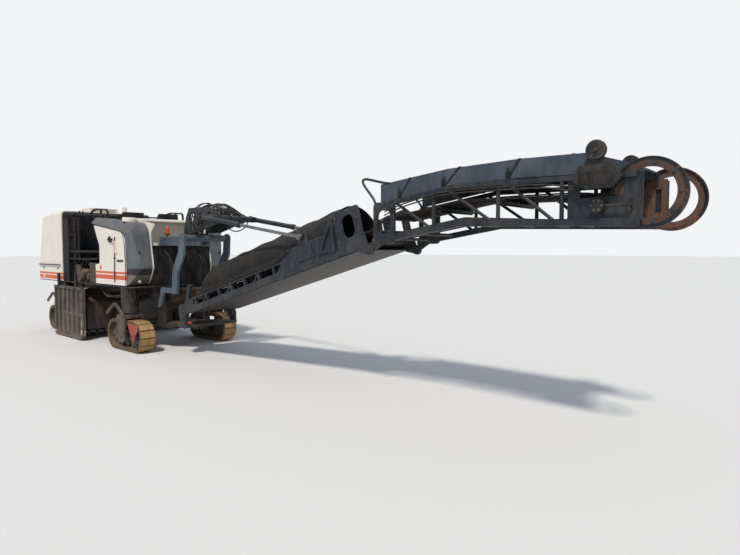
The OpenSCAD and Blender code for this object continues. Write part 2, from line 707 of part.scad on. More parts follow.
module leg(c) place() translate([c[0], c[1], 0]) color("dimgray") {
    translate([0, 0, bridge_z]) cylinder(r = column_d / 2, h = column_top_z - bridge_z);
    // Fork bridge and its two legs
    box([-190, -fork_y - fork_t, bridge_z], [190, fork_y + fork_t, bridge_z + bridge_h]);
    both_sides() {
        xz(fork_y, fork_y + fork_t) polygon([[-fork_w / 2, bridge_z + 1], [-fork_w / 2, fork_low + 60],
            [-fork_w / 2 + 60, fork_low], [fork_w / 2 - 60, fork_low], [fork_w / 2, fork_low + 60],
            [fork_w / 2, bridge_z + 1]]);
        y_bar(0, track_r, 0, fork_y + fork_t + 12, axle_r);
    }
    xz(fork_y + 28, fork_y + fork_t + 15) difference() {
        union() {
            path_2d(arm_pts, arm_w);
            translate(arm_pts[0]) circle(r = arm_w / 2 + 10);
        }
        translate(arm_pts[0]) circle(r = 20);
    }
    // Track frame, end wheels and rollers
    box([-track_half, -wheel_w / 2 + 10, track_r - 110], [track_half, wheel_w / 2 - 10, track_r + 110]);
    for (s = [-1, 1]) translate([s * track_half, 0, track_r]) difference() {
        y_bar(0, 0, -wheel_w / 2, wheel_w / 2, link_in_r - seat);
        for (i = [0 : wheel_holes - 1]) rotate([0, (i + 0.5) * 360 / wheel_holes, 0])
            y_bar(165, 0, -wheel_w / 2 - 1, wheel_w / 2 + 1, 32);
    }
    for (s = [-1, 0, 1])
        y_bar(s * 250, track_r - link_in_r + roller_r + seat, -wheel_w / 2, wheel_w / 2, roller_r);
    // Hub and the guard plate beside the front wheel
    y_bar(track_half, track_r, 0, fork_y, 70);
    xz(fork_y - 5, fork_y + 8) translate([0, track_r]) polygon(guard_pts);
    xz(fork_y - 5, fork_y + 8) translate([track_half, track_r]) circle(r = 80);
}

module leg_front_left() leg(front_column);
module leg_front_right() on_right() leg(front_column);
module leg_rear_left() leg(rear_column);
module leg_rear_right() on_right() leg(rear_column);

// Milling drum with its tool holders on two opposite spirals
tube_drum_r = drum_r - 150;
tools = 36;
tool_step = 137.5;
module tool() {
    translate([tube_drum_r - 20, -30, -35]) cube([100, 60, 80]);
    translate([tube_drum_r + 40, 0, 25]) rotate([0, 52, 0]) cylinder(r1 = 26, r2 = 20, h = 60);
    translate([drum_r - 62, 0, 56]) rotate([0, 62, 0]) cylinder(r1 = 20, r2 = 5, h = 58);
}

module milling_drum() place() color("saddlebrown") translate([drum_x, 0, drum_z]) {
    y_bar(0, 0, -cut_w / 2, cut_w / 2, tube_drum_r);
    y_bar(0, 0, -housing_y - housing_t + 5, housing_y + housing_t - 5, shaft_r);
    for (i = [0 : tools - 1], s = [-1, 1])
        translate([0, s * (35 + i * (cut_w / 2 - 70) / (tools - 1)), 0])
            rotate([0, -i * tool_step - (s + 1) * 30, 0]) tool();
}

// Side plates
plate_y = machine_w / 2 - 70;
plate_rib_y = plate_y + 25;
plate_front_x = drum_x + plate_len - 1000;
plate_rear_x = plate_front_x - plate_len;
plate_ribs = 7;
module side_plate() place() {
    z0 = plate_gap;
    difference() {
        union() {
            xz(plate_y, plate_rib_y + 1) polygon([[plate_rear_x, z0 + 70], [plate_rear_x + 70, z0],
                [plate_front_x - 130, z0], [plate_front_x, z0 + 130], [plate_front_x, plate_top_z - 60],
                [plate_front_x - 60, plate_top_z], [plate_rear_x, plate_top_z]]);
            // Skid along the lower edge
            xz(plate_y, machine_w / 2) polygon([[plate_rear_x, z0 + 70], [plate_rear_x + 70, z0],
                [plate_front_x - 130, z0], [plate_front_x, z0 + 130], [plate_front_x, z0 + 180],
                [plate_front_x - 150, z0 + 45], [plate_rear_x + 90, z0 + 45]]);
            for (i = [0 : plate_ribs - 1])
                let (x = plate_rear_x + 20 + i * (plate_len - 100) / (plate_ribs - 1))
                    box([x, plate_rib_y, z0 + 140], [x + 60, machine_w / 2 - 8, plate_top_z - 60]);
            box([plate_rear_x, plate_rib_y, plate_top_z - 60], [plate_front_x - 60, machine_w / 2 - 8, plate_top_z]);
            box([plate_rear_x, plate_rib_y, 560], [plate_front_x, machine_w / 2 - 25, 620]);
        }
        for (x = lift_xs) box([x - notch_half, plate_y - 1, notch_z], [x + notch_half, machine_w / 2 + 1, plate_top_z + 1]);
    }
    // Rods of the lift cylinders
    for (x = lift_xs) translate([x, lift_y, notch_z - 1]) cylinder(r = lift_rod_r, h = lift_z0 + lift_bite - notch_z + 1);
}

module side_plate_left() color("dimgray") side_plate();
module side_plate_right() color("dimgray") on_right() side_plate();

// Swivel yoke on the lower slewing eye, with the ears of the luffing pins
yoke_z = tongue_z + tongue_t + seat;
yoke_t = 60;
ear_y = conv_y + free_gap;
ear_t = 50;
luff_pin_r = 40;
module swivel_yoke() place() color("slategray") {
    difference() {
        union() {
            translate([slew_x, 0, yoke_z]) linear_extrude(yoke_t) {
                circle(r = 150);
                polygon([[-60, -150], [luff_ahead - 90, -ear_y - ear_t], [luff_ahead + 90, -ear_y - ear_t],
                    [luff_ahead + 90, ear_y + ear_t], [luff_ahead - 90, ear_y + ear_t], [-60, 150]]);
            }
            both_sides() xz(ear_y, ear_y + ear_t) translate([luff_x, 0]) {
                translate([-80, yoke_z]) square([160, luff_z - yoke_z]);
                translate([0, luff_z]) circle(r = 80 + seat);
            }
        }
        both_sides() y_bar(luff_x, luff_z, ear_y - 1, ear_y + ear_t + 1, luff_pin_r + fit);
    }
    translate([slew_x, 0, tongue_z - 20]) cylinder(r = pivot_r - fit, h = tongue_t + 30);
    translate([slew_x, 0, tongue_z - 40]) cylinder(r = pivot_r + 30, h = 40 - seat);
}

// Gallows on the upper slewing eye, with the pins of the luffing cylinders
gallows_pin = [2200, 2750];
cyl_y0 = 600;
cyl_y1 = 650;
cyl_y = (cyl_y0 + cyl_y1) / 2;
cyl_pin_r = 25;
gallows_z = top_eye_z + top_eye_t + 5;
// The mast passes over the tops of the struts
mast_low_z = cross_z + strut_w / 2 + 15;
mast_top_z = 2990;
// Cut-outs of the mast plates: x, z, radius
gallows_holes = [[1300, 2800, 90], [1620, 2760, 120], [1920, 2800, 80]];
mast_y = 235;
mast_t = 35;
module gallows() place() color("darkslategray") {
    translate([slew_x, 0, top_eye_z - 15]) cylinder(r = top_pin_r - fit, h = gallows_z + 30 - top_eye_z);
    translate([slew_x, 0, gallows_z]) cylinder(r = 140, h = 60);
    box([slew_x - 50, -mast_y - 1, gallows_z], [slew_x + 100, mast_y + 1, gallows_z + 60]);
    both_sides() {
        xz(mast_y, mast_y + mast_t) difference() {
            polygon([[slew_x - 50, gallows_z], [slew_x + 40, gallows_z], [slew_x + 60, mast_low_z],
                [slew_x + 520, mast_low_z], [gallows_pin[0] + 70, 2660], [gallows_pin[0] + 70, 2830],
                [1900, mast_top_z], [slew_x + 180, mast_top_z], [slew_x + 60, 2800]]);
            for (h = gallows_holes) translate([h[0], h[1]]) circle(r = h[2]);
        }
        // Side arms at the ends of the cross beam, with a pointed guide, and the struts under them
        xz(cyl_y0 - 60, cyl_y0 - 30) polygon([[gallows_pin[0] - 130, 2700], [gallows_pin[0] + 80, 2690],
            [gallows_pin[0] + 80, 2800], [gallows_pin[0] - 60, 2830]]);
        rod([1500, mast_y + 20, 2640], [gallows_pin[0], cyl_y0 - 45, gallows_pin[1]], 32);
        y_bar(gallows_pin[0], gallows_pin[1], 0, cyl_y0 - seat - 5, 60);
        y_bar(gallows_pin[0], gallows_pin[1], 0, cyl_y1 + 20, cyl_pin_r);
        y_bar(gallows_pin[0], gallows_pin[1], cyl_y1 + 6, cyl_y1 + 20, cyl_pin_r + 12);
    }
    xz(-20, 20) polygon([[gallows_pin[0] - 65, gallows_pin[1] + 30], [gallows_pin[0] + 65, gallows_pin[1] + 30],
        [gallows_pin[0] + 5, 3010]]);
    // Plates that tie the two mast plates together
    for (x = [1370, 1780]) box([x, -mast_y - 1, 2700], [x + 45, mast_y + 1, mast_top_z - 25]);
    box([1380, -mast_y - 1, mast_top_z - 45], [1820, mast_y + 1, mast_top_z - 25]);
}

// Points of the lower conveyor in its own frame: x along it, z up from the line of the pins
module on_lower() translate([luff_x, 0, luff_z]) rotate([0, -conv_slope, 0]) children();

rail_low = 50;
rail_h = 120;
rail_t = 60;
string_low = 290;
string_h = 40;
cover_x = 480;
beam_x = 3400;
tail_x = -130;
tail_z = 215;
tail_r = 95;
post_count = 8;
rod_pin = [3836, 564];
rod_boss = 30;
fold_pin_r = 35;
elbow_x = conv_len - 560;

module lower_side() {
    y0 = conv_y - rail_t;
    // Lower rail, tail plate and luffing lug
    xz(y0, conv_y) {
        translate([-200, rail_low]) square([conv_len - 90 + 200, rail_h]);
        translate([-80, 0]) square([160, rail_low + 1]);
        circle(r = 80);
        translate([-180, rail_low]) square([400, 200]);
        translate([100, rail_low]) square([280, 270]);
        bar_2d([140, 200], [330, 590], 110);
    }
    y_bar(0, 0, y0, ear_y + ear_t + 12, luff_pin_r);
    // Top stringer, its inner ledge for the cover, posts and braces
    xz(y0 - 20, conv_y) translate([cover_x - 120, string_low]) square([elbow_x - cover_x + 200, string_h]);
    for (i = [0 : post_count - 1]) let (x = cover_x + i * (beam_x - cover_x) / (post_count - 1)) {
        xz(y0, conv_y) translate([x - 20, rail_low + rail_h - 1]) square([40, string_low - rail_low - rail_h + 2]);
        if (i % 2 == 1) xz(y0 + 15, conv_y - 15)
            bar_2d([x - 180, rail_low + rail_h - 10], [x - 20, string_low + 10], 35);
    }
    // Box beam of the upper half, with its gusset
    xz(y0, conv_y) {
        translate([beam_x, rail_low + rail_h - 1]) square([elbow_x - beam_x + 60, 300]);
        polygon([[beam_x - 330, rail_low + rail_h - 1], [beam_x + 1, rail_low + rail_h - 1],
            [beam_x + 1, rail_low + rail_h + 299]]);
    }
    // Bracket of the luffing rod, with the boss that the rod's pin turns on
    xz(conv_y, conv_y + 20) polygon([[rod_pin[0] - 180, 200], [rod_pin[0] + 200, 200],
        [rod_pin[0] + 60, rod_pin[1] + 50], [rod_pin[0] - 60, rod_pin[1] + 50]]);
    y_bar(rod_pin[0], rod_pin[1], conv_y, conv_y + rod_boss, cyl_pin_r + 15);
    // Elbow plate with its cut-out, and the ear of the fold pin
    difference() {
        xz(conv_y - 1, conv_y + 20) {
            translate([elbow_x, rail_low]) round_rect([520, 640], 60);
            polygon([[elbow_x + 300, rail_low], [conv_len, -fold_ear_r], [conv_len, fold_ear_r],
                [elbow_x + 520, 300]]);
            translate([conv_len, 0]) circle(r = fold_ear_r);
        }
        xz(conv_y - 2, conv_y + 21) translate([elbow_x + 150, 270]) round_rect([230, 330], 90);
        y_bar(conv_len, 0, conv_y - 2, conv_y + 21, fold_pin_r + fit);
    }
    // Triangular link with the upper tie pin
    xz(conv_y - 1, conv_y + 25) {
        path_2d([[elbow_x - 420, 230], [elbow_x - 60, 640], [elbow_x - 100, 180], [elbow_x - 420, 230]], 60);
        for (p = [[elbow_x - 420, 230], [elbow_x - 60, 640]]) translate(p) circle(r = 45);
    }
}

fold_ear_r = 75;
module lower_frame() place() on_lower() color("slategray") {
    both_sides() lower_side();
    for (i = [1 : 9]) y_bar(i * conv_len / 10.2, rail_low + 30, -conv_y + 20, conv_y - 20, 20);
    for (i = [0 : post_count - 1]) let (x = cover_x + i * (beam_x - cover_x) / (post_count - 1)) {
        y_bar(x, tail_z + tail_r - belt_t - 40 - seat, -belt_w / 2, belt_w / 2, 40);
        y_bar(x, tail_z + tail_r - belt_t - 40 - seat, -conv_y + 20, conv_y - 20, 14);
    }
    y_bar(tail_x, tail_z, -conv_y + 20, conv_y - 20, tail_r - belt_t - seat);
    box([300, -conv_y + 10, rail_low - 12], [conv_len - 160, conv_y - 10, rail_low + 2]);
}

module lower_belt() place() on_lower() color("saddlebrown") xz(-belt_w / 2, belt_w / 2) {
    belt_end = conv_len - 40;
    difference() {
        translate([tail_x, tail_z]) circle(r = tail_r);
        translate([tail_x, tail_z]) circle(r = tail_r - belt_t);
        translate([tail_x, tail_z - tail_r]) square([tail_r, 2 * tail_r]);
    }
    translate([tail_x, tail_z + tail_r - belt_t]) square([belt_end - tail_x, belt_t]);
    translate([tail_x, tail_z - tail_r]) square([belt_end - tail_x, belt_t]);
}

// Sheet cover over the lower belt, an arch on low walls
cover_y = conv_y - rail_t;
cover_z = string_low + string_h + seat;
cover_t = 12;
cover_end = elbow_x - 60;
arch_r = (pow(cover_y, 2) + pow(cover_rise, 2)) / (2 * cover_rise);
module cover_section(t) {
    translate([-cover_y + t, cover_z - (t > 0 ? 1 : 0)])
        square([2 * (cover_y - t), cover_wall_h + (t > 0 ? 1 : 0)]);
    intersection() {
        translate([0, cover_z + cover_wall_h + cover_rise - arch_r]) circle(r = arch_r - t, $fn = 96);
        translate([-cover_y + t, cover_z + cover_wall_h - 1]) square([2 * (cover_y - t), cover_rise + 2]);
    }
}

module lower_cover() place() on_lower() color("darkslategray") difference() {
    translate([cover_x, 0, 0]) rotate([90, 0, 90]) linear_extrude(cover_end - cover_x) difference() {
        cover_section(0);
        cover_section(cover_t);
    }
    xz(-conv_y, conv_y) polygon([[cover_x - 1, cover_z + 10], [cover_x + 420, cover_z + 480],
        [cover_x + 760, cover_z + 600], [cover_x - 1, cover_z + 620]]);
}

// Upper conveyor: knees from the fold pins, as x and z
upper_low = [[40, 110], [1430, 325], [3480, 270]];
upper_top = [[130, 600], [1390, 780], [3450, 745]];
// Posts: x of the foot on the low chord, its height, and the height of the top chord there
upper_posts = [[1050, 266, 731], [1950, 311, 770], [2700, 291, 758]];
// Diagonals: x and z of the top end, x and z of the low end
upper_ties = [[420, 642, 1030, 262], [1230, 757, 1900, 312], [2050, 769, 2640, 293]];
tube_y = conv_y - 32;
chord_w = 56;
head_pin = [3090, 445];
head_r = 150;
carry_run = [[60, 430], [1400, 620], [head_pin[0], head_pin[1] + head_r - belt_t / 2]];
return_run = [[60, 190], [1430, 400], [head_pin[0], head_pin[1] - head_r + belt_t / 2]];
idler_r = 40;
head_hub_r = 70;

module at_fold() translate([fold_x, 0, fold_z]) children();

module upper_side() {
    y0 = conv_y - rail_t;
    xz(y0, conv_y) path_2d(upper_low, 80);
    xz(tube_y - chord_w / 2, tube_y + chord_w / 2) path_2d(upper_top, chord_w);
    for (p = upper_posts) rod([p[0], tube_y, p[1]], [p[0], tube_y, p[2]], 24);
    for (t = upper_ties) rod([t[0], tube_y, t[1]], [t[2], tube_y, t[3]], 20);
    // Elbow plate with its cut-out and the fold pin's boss
    difference() {
        xz(y0 + 20, conv_y - 5) {
            translate([60, 90]) round_rect([370, 560], 60);
            polygon([[-50, -20], [60, -20], [330, 150], [70, 200], [40, 60]]);
            circle(r = 70);
        }
        xz(y0 + 19, conv_y - 4) translate([130, 220]) round_rect([230, 320], 80);
    }
    y_bar(0, 0, y0 + 20, conv_y + 34, fold_pin_r);
    // End plates with the bearing of the head shaft
    xz(y0 + 5, y0 + 25) difference() {
        union() {
            translate([2760, 290]) square([740, 250]);
            translate([2760, 480]) square([130, 290]);
            translate([3330, 480]) square([170, 290]);
        }
        translate(head_pin) circle(r = head_hub_r + seat);
    }
}

module upper_frame() place() at_fold() color("slategray") {
    both_sides() upper_side();
    for (x = [300, 700, 1430, 1950, 2400, 2700]) let (z = x < 1430 ? 110 + (x - 40) * 0.1547 : 325 - (x - 1430) * 0.0268)
        y_bar(x, z, -conv_y + 20, conv_y - 20, 22);
    for (p = upper_posts) {
        z = lookup(p[0], carry_run) - idler_r - belt_t / 2 - 1;
        y_bar(p[0], z, -belt_w / 2, belt_w / 2, idler_r);
        y_bar(p[0], z, -tube_y, tube_y, 14);
    }
}

module upper_belt() place() at_fold() color("saddlebrown") xz(-belt_w / 2, belt_w / 2) {
    difference() {
        translate(head_pin) circle(r = head_r);
        translate(head_pin) circle(r = head_r - belt_t);
        translate(head_pin - [head_r, head_r]) square([head_r, 2 * head_r]);
    }
    path_2d(carry_run, belt_t);
    path_2d(return_run, belt_t);
}

// Cover panels of the upper belt, as x, base z, top z and half width of the panel ahead
cover_knees = [[150, 640, 900, 500], [1240, 800, 1010, 500], [2200, 815, 1030, 500],
    [2950, 795, 1010, 440], [3420, 790, 850, 440]];
module upper_cover() place() at_fold() color("slategray") {
    for (i = [0 : len(cover_knees) - 2]) let (a = cover_knees[i], b = cover_knees[i + 1]) {
        both_sides() {
            xz(a[3] - 20, a[3]) polygon([[a[0], a[1]], [b[0] + 1, b[1]], [b[0] + 1, b[2]], [a[0], a[2]]]);
        }
        xz(-a[3] + 19, a[3] - 19) polygon([[a[0], a[2] - 20], [b[0] + 1, b[2] - 20], [b[0] + 1, b[2]],
            [a[0], a[2]]]);
    }
}

// Head rings: a rim, a web with cut-outs, and the plate that holds them
module head_guards() place() at_fold() color("saddlebrown") both_sides() {
    y0 = conv_y - 80;
    xz(y0, y0 + 14) translate([head_run, 560]) difference() {
        circle(r = ring_r, $fn = 96);
        circle(r = ring_r - 100);
    }
    xz(y0 - 30, y0 + 17) translate([head_run, 560]) difference() {
        circle(r = ring_r, $fn = 96);
        circle(r = ring_r - 14, $fn = 96);
    }
    xz(y0, conv_y - rail_t) difference() {
        translate([head_run - 250, 250]) square([200, 540]);
        translate([head_run - 170, 420]) square([60, 260]);
    }
}

// Head pulley with its motors, the side housings and the ground rollers on top
module head_drive() place() at_fold() color("dimgray") {
    y_bar(head_pin[0], head_pin[1], -belt_w / 2 - 20, belt_w / 2 + 20, head_r - belt_t - seat);
    both_sides() {
        y_bar(head_pin[0], head_pin[1], 0, conv_y + 60, head_hub_r);
        rod([head_pin[0] + 40, conv_y + 30, head_pin[1]], [head_pin[0] + 330, conv_y + 30, head_pin[1]], 14);
        box([head_pin[0] + 290, conv_y - rail_t + 25.3, head_pin[1] - 60],
            [head_pin[0] + 320, conv_y + 50, head_pin[1] + 60]);
        xz(tube_y + chord_w / 2 + seat, conv_y + 80) polygon([[2960, 620], [3250, 620], [3330, 720], [3250, 860], [2900, 860],
            [2860, 700]]);
        xz(conv_y + 20, conv_y + 32) {
            translate([2990, 850]) square([160, 130]);
            translate([3070, 980]) circle(r = 80);
        }
        y_bar(3070, 1010, conv_y + 10, conv_y + 60, 100);
    }
}

// Luffing cylinders between the gallows and the lower conveyor
rod_end = [luff_x + rod_pin[0] * cos(conv_slope) - rod_pin[1] * sin(conv_slope),
    luff_z + rod_pin[0] * sin(conv_slope) + rod_pin[1] * cos(conv_slope)];
cyl_dir = (rod_end - gallows_pin) / norm(rod_end - gallows_pin);
cyl_len = norm(rod_end - gallows_pin);
barrel_len = 1250;
barrel_r = 46;
luff_rod_r = 27;
rod_back = 700;
// Length of the flat neck between the pin and the round barrel
neck_len = 110;

function along(d) = [gallows_pin[0] + d * cyl_dir[0], cyl_y, gallows_pin[1] + d * cyl_dir[1]];

module luff_barrels() place() color("dimgray") both_sides() difference() {
    union() {
        y_bar(gallows_pin[0], gallows_pin[1], cyl_y0, cyl_y1, 55);
        xz(cyl_y0, cyl_y1) bar_2d(gallows_pin, [along(neck_len)[0], along(neck_len)[2]], 2 * barrel_r);
        rod(along(neck_len - 20), along(barrel_len), barrel_r);
        rod(along(barrel_len - 60), along(barrel_len), barrel_r + 8);
    }
    y_bar(gallows_pin[0], gallows_pin[1], cyl_y0 - 1, cyl_y1 + 1, cyl_pin_r + fit);
    rod(along(neck_len + 30), along(barrel_len + 1), luff_rod_r + fit);
}

// The rods, each with the pin at its end, which stops short of the boss that it turns on
module luff_rods() place() color("silver") both_sides() {
    rod(along(rod_back), along(cyl_len - 30), luff_rod_r);
    y_bar(rod_end[0], rod_end[1], cyl_y0, cyl_y1, 50);
    y_bar(rod_end[0], rod_end[1], conv_y + rod_boss + 1, cyl_y1 + 20, cyl_pin_r);
}

main_frame();
column_guides();
lashing_lugs();
drum_housing();
scraper_blade();
rear_body();
engine_block();
engine_hood();
platform();
operator_station();
handrails();
tank_right();
tank_left();
side_panel_right();
side_panel_left();
front_deck();
front_wall();
filler_caps();
front_struts();
primary_frame();
primary_belt();
side_drives();
beacon();
lamps();
leg_front_right();
leg_front_left();
leg_rear_right();
leg_rear_left();
track_front_right();
track_front_left();
track_rear_right();
track_rear_left();
milling_drum();
side_plate_right();
side_plate_left();
swivel_yoke();
gallows();
lower_frame();
lower_belt();
lower_cover();
upper_frame();
upper_belt();
upper_cover();
head_guards();
head_drive();
luff_barrels();
luff_rods();
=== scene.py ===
# %% [markdown]
# # A cold planer with its loading conveyor
# The solids come from the CAD part. This file dresses them: paint, dirt and rubber, the creased
# sheet over the lower belt, hoses, bolt heads, latches, cushions and blank plates. Everything is
# in metres, +X towards the conveyor's discharge end, +Y to the machine's left, +Z up.

# %% Load the frame
import json
import math
import random

import bpy
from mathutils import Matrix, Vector

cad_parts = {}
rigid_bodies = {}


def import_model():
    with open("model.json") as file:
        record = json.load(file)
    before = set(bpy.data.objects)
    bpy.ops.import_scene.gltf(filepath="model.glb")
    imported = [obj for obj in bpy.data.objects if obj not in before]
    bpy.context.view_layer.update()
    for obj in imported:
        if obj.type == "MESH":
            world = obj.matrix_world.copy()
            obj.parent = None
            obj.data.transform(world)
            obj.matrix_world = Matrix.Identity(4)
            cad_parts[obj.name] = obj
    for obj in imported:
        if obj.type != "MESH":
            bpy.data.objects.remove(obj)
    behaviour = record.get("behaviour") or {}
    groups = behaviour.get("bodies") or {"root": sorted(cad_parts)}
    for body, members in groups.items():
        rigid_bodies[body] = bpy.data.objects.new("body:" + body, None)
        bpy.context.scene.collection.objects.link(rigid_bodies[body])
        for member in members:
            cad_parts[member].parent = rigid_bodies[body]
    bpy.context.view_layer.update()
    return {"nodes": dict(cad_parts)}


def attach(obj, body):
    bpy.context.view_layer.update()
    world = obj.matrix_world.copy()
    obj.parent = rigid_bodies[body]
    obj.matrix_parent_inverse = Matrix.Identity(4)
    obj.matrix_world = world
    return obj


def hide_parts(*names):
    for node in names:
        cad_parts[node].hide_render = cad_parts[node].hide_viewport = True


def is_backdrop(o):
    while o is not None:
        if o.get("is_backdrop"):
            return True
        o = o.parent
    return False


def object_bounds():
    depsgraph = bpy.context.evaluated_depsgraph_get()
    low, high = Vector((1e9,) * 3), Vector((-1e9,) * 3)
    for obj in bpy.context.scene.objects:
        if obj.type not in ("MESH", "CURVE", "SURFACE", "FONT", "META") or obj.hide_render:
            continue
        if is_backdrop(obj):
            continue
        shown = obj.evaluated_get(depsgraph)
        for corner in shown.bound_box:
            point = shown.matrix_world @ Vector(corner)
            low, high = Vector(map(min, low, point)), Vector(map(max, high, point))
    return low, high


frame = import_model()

for o in bpy.data.objects:
    o.select_set(False)

# %% [markdown]
# ## Places
# The part's own drawing measures x from the front track axis, so three small functions turn its
# millimetres into scene metres: one for the machine, one for the lower conveyor, which leans
# about its luffing pins, and one for the upper conveyor, measured from the folding pins.

# %% Places
# How far the scene's origin lies ahead of the front track axis, in metres
MIDDLE = 2.65164
# The luffing pins and the folding pins, in millimetres
LUFF_X, LUFF_Z = 1450, 770
FOLD_X, FOLD_Z = 6400, 2130
SLOPE = math.atan2(FOLD_Z - LUFF_Z, FOLD_X - LUFF_X)
REAR_AXLE_X = -4200
SIDES = (("right", -1), ("left", 1))


def at(x, y, z):
    return Vector((x / 1000 - MIDDLE, y / 1000, z / 1000))


def on_lower(x, y, z):
    c, s = math.cos(SLOPE), math.sin(SLOPE)
    return at(LUFF_X + x * c - z * s, y, LUFF_Z + x * s + z * c)


def on_upper(x, y, z):
    return at(FOLD_X + x, y, FOLD_Z + z)


def spots(points, s=1, place=at):
    """Turns a list of (x, y, z) into scene points. With s = -1 they lie on the right side."""
    return [place(x, s * y, z) for x, y, z in points]


print("luffing pins at", [round(v, 3) for v in on_lower(0, 0, 0)])

# %% [markdown]
# ## Stage, camera and light
# The floor and the world are plain and pale, so that only the machine speaks. The camera stands
# where the picture was taken from: right of the machine and ahead of it, a little above a
# person's head, with a wide lens. One soft sun and an even sky show each colour about as written.

# %% Stage
FLOOR_SIZE, FLOOR_DROP = 400, 0.001
bpy.ops.mesh.primitive_plane_add(size=FLOOR_SIZE, location=(0, 0, -FLOOR_DROP))
floor = bpy.context.object
floor.name = "floor"
floor_mat = bpy.data.materials.new("pale_floor")
floor_mat.use_nodes = True
floor_shader = floor_mat.node_tree.nodes["Principled BSDF"]
floor_shader.inputs["Base Color"].default_value = (0.72, 0.71, 0.69, 1)
floor_shader.inputs["Roughness"].default_value = 0.9
floor.data.materials.append(floor_mat)
floor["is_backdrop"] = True
floor.select_set(False)

# %% Sky
# The sky lights the machine, and the camera sees a paler, even backdrop
world = bpy.data.worlds.new("sky")
bpy.context.scene.world = world
world.use_nodes = True
tree = world.node_tree
sky = tree.nodes["Background"]
sky.inputs["Color"].default_value = (0.80, 0.87, 1.0, 1)
sky.inputs["Strength"].default_value = 0.55
backdrop = tree.nodes.new("ShaderNodeBackground")
backdrop.inputs["Color"].default_value = (0.90, 0.91, 0.92, 1)
backdrop.inputs["Strength"].default_value = 1.0
rays = tree.nodes.new("ShaderNodeLightPath")
pick = tree.nodes.new("ShaderNodeMixShader")
tree.links.new(rays.outputs["Is Camera Ray"], pick.inputs["Fac"])
tree.links.new(sky.outputs["Background"], pick.inputs[1])
tree.links.new(backdrop.outputs["Background"], pick.inputs[2])
tree.links.new(pick.outputs["Shader"], tree.nodes["World Output"].inputs["Surface"])

# %% Light
sun = bpy.data.lights.new("sun", "SUN")
sun.energy = 2.6
sun.angle = math.radians(6)
sun.color = (1.0, 0.96, 0.9)
sun_object = bpy.data.objects.new("sun", sun)
bpy.context.collection.objects.link(sun_object)
sun_from = Vector((0.35, -0.62, 0.95))
sun_object.rotation_euler = sun_from.to_track_quat("Z", "Y").to_euler()

# %% Camera
# Width and focal length of the picture, in pixels
PICTURE_WIDTH, PICTURE_FOCAL = 740, 540
camera = bpy.data.cameras.new("camera")
camera.sensor_width = 36
camera.lens = PICTURE_FOCAL / PICTURE_WIDTH * 36
camera_object = bpy.data.objects.new("camera", camera)
bpy.context.collection.objects.link(camera_object)
camera_object.location = at(11376, -6256, 2130)
yaw, pitch = math.radians(131.12), math.radians(-2.93)
gaze = Vector((math.cos(yaw) * math.cos(pitch), math.sin(yaw) * math.cos(pitch), math.sin(pitch)))
camera_object.rotation_euler = gaze.to_track_quat("-Z", "Y").to_euler()
bpy.context.scene.camera = camera_object
bpy.context.scene.view_settings.view_transform = "Standard"
print("camera lens", round(camera.lens, 2), "mm")

# %% [markdown]
# ## Weathering
# The whole machine has stood and worked outdoors, so every finish shares one effect: dust that
# settles on level faces and is thrown up low down, rust that breaks through in spots, and a fine
# unevenness. A node group holds it once. It puts out masks and a tone, and each material mixes
# its own colours with them. It reads Object coordinates, which here are metres from the ground.


# %% Small helpers for nodes
def node(tree, kind, links=None, **values):
    """Adds a node. links maps an input to a socket or to a plain value."""
    n = tree.nodes.new(kind)
    for key, value in values.items():
        setattr(n, key, value)
    for key, value in (links or {}).items():
        socket = n.inputs[key]
        if isinstance(value, bpy.types.NodeSocket):
            tree.links.new(value, socket)
        else:
            socket.default_value = value
    return n


def maths(tree, operation, a, b=0.0, clamp=False):
    n = node(tree, "ShaderNodeMath", {0: a, 1: b}, operation=operation)
    n.use_clamp = clamp
    return n.outputs[0]


def plus(tree, a, b):
    return maths(tree, "ADD", a, b)


def minus(tree, a, b):
    return maths(tree, "SUBTRACT", a, b)


def times(tree, a, b):
    return maths(tree, "MULTIPLY", a, b)


def weigh(tree, a, share_a, b, share_b):
    """The sum of two values, each times its share."""
    return plus(tree, times(tree, a, share_a), times(tree, b, share_b))


def above(tree, value, limit):
    return maths(tree, "GREATER_THAN", value, limit)


def below(tree, value, limit):
    return maths(tree, "LESS_THAN", value, limit)


def between(tree, value, low, high):
    return times(tree, above(tree, value, low), below(tree, value, high))


def both(tree, *masks):
    product = masks[0]
    for mask in masks[1:]:
        product = times(tree, product, mask)
    return product


def either(tree, a, b):
    return maths(tree, "MAXIMUM", a, b)


def magnitude(tree, value):
    return maths(tree, "ABSOLUTE", value)


def distance(tree, a, b):
    """How far a point lies from the origin of a plane, from its two coordinates there."""
    return maths(tree, "SQRT", plus(tree, times(tree, a, a), times(tree, b, b)))


# %% Helpers for fades, colours and places
def fade(tree, value, low, high):
    """0 below low, 1 above high, smooth between."""
    n = node(tree, "ShaderNodeMapRange", {"Value": value, "From Min": low, "From Max": high},
             interpolation_type="SMOOTHSTEP")
    return n.outputs["Result"]


def blend_colour(tree, mask, a, b):
    """Colour a where the mask is 0, colour b where it is 1."""
    n = tree.nodes.new("ShaderNodeMix")
    n.data_type = "RGBA"
    for socket, value in ((n.inputs[0], mask), (n.inputs[6], a), (n.inputs[7], b)):
        if isinstance(value, bpy.types.NodeSocket):
            tree.links.new(value, socket)
        else:
            socket.default_value = value
    return n.outputs[2]


def object_xyz(tree):
    place = node(tree, "ShaderNodeTexCoord").outputs["Object"]
    split = node(tree, "ShaderNodeSeparateXYZ", {"Vector": place})
    return split.outputs["X"], split.outputs["Y"], split.outputs["Z"]


def normal_xyz(tree):
    split = node(tree, "ShaderNodeSeparateXYZ",
                 {"Vector": node(tree, "ShaderNodeNewGeometry").outputs["Normal"]})
    return split.outputs["X"], split.outputs["Y"], split.outputs["Z"]


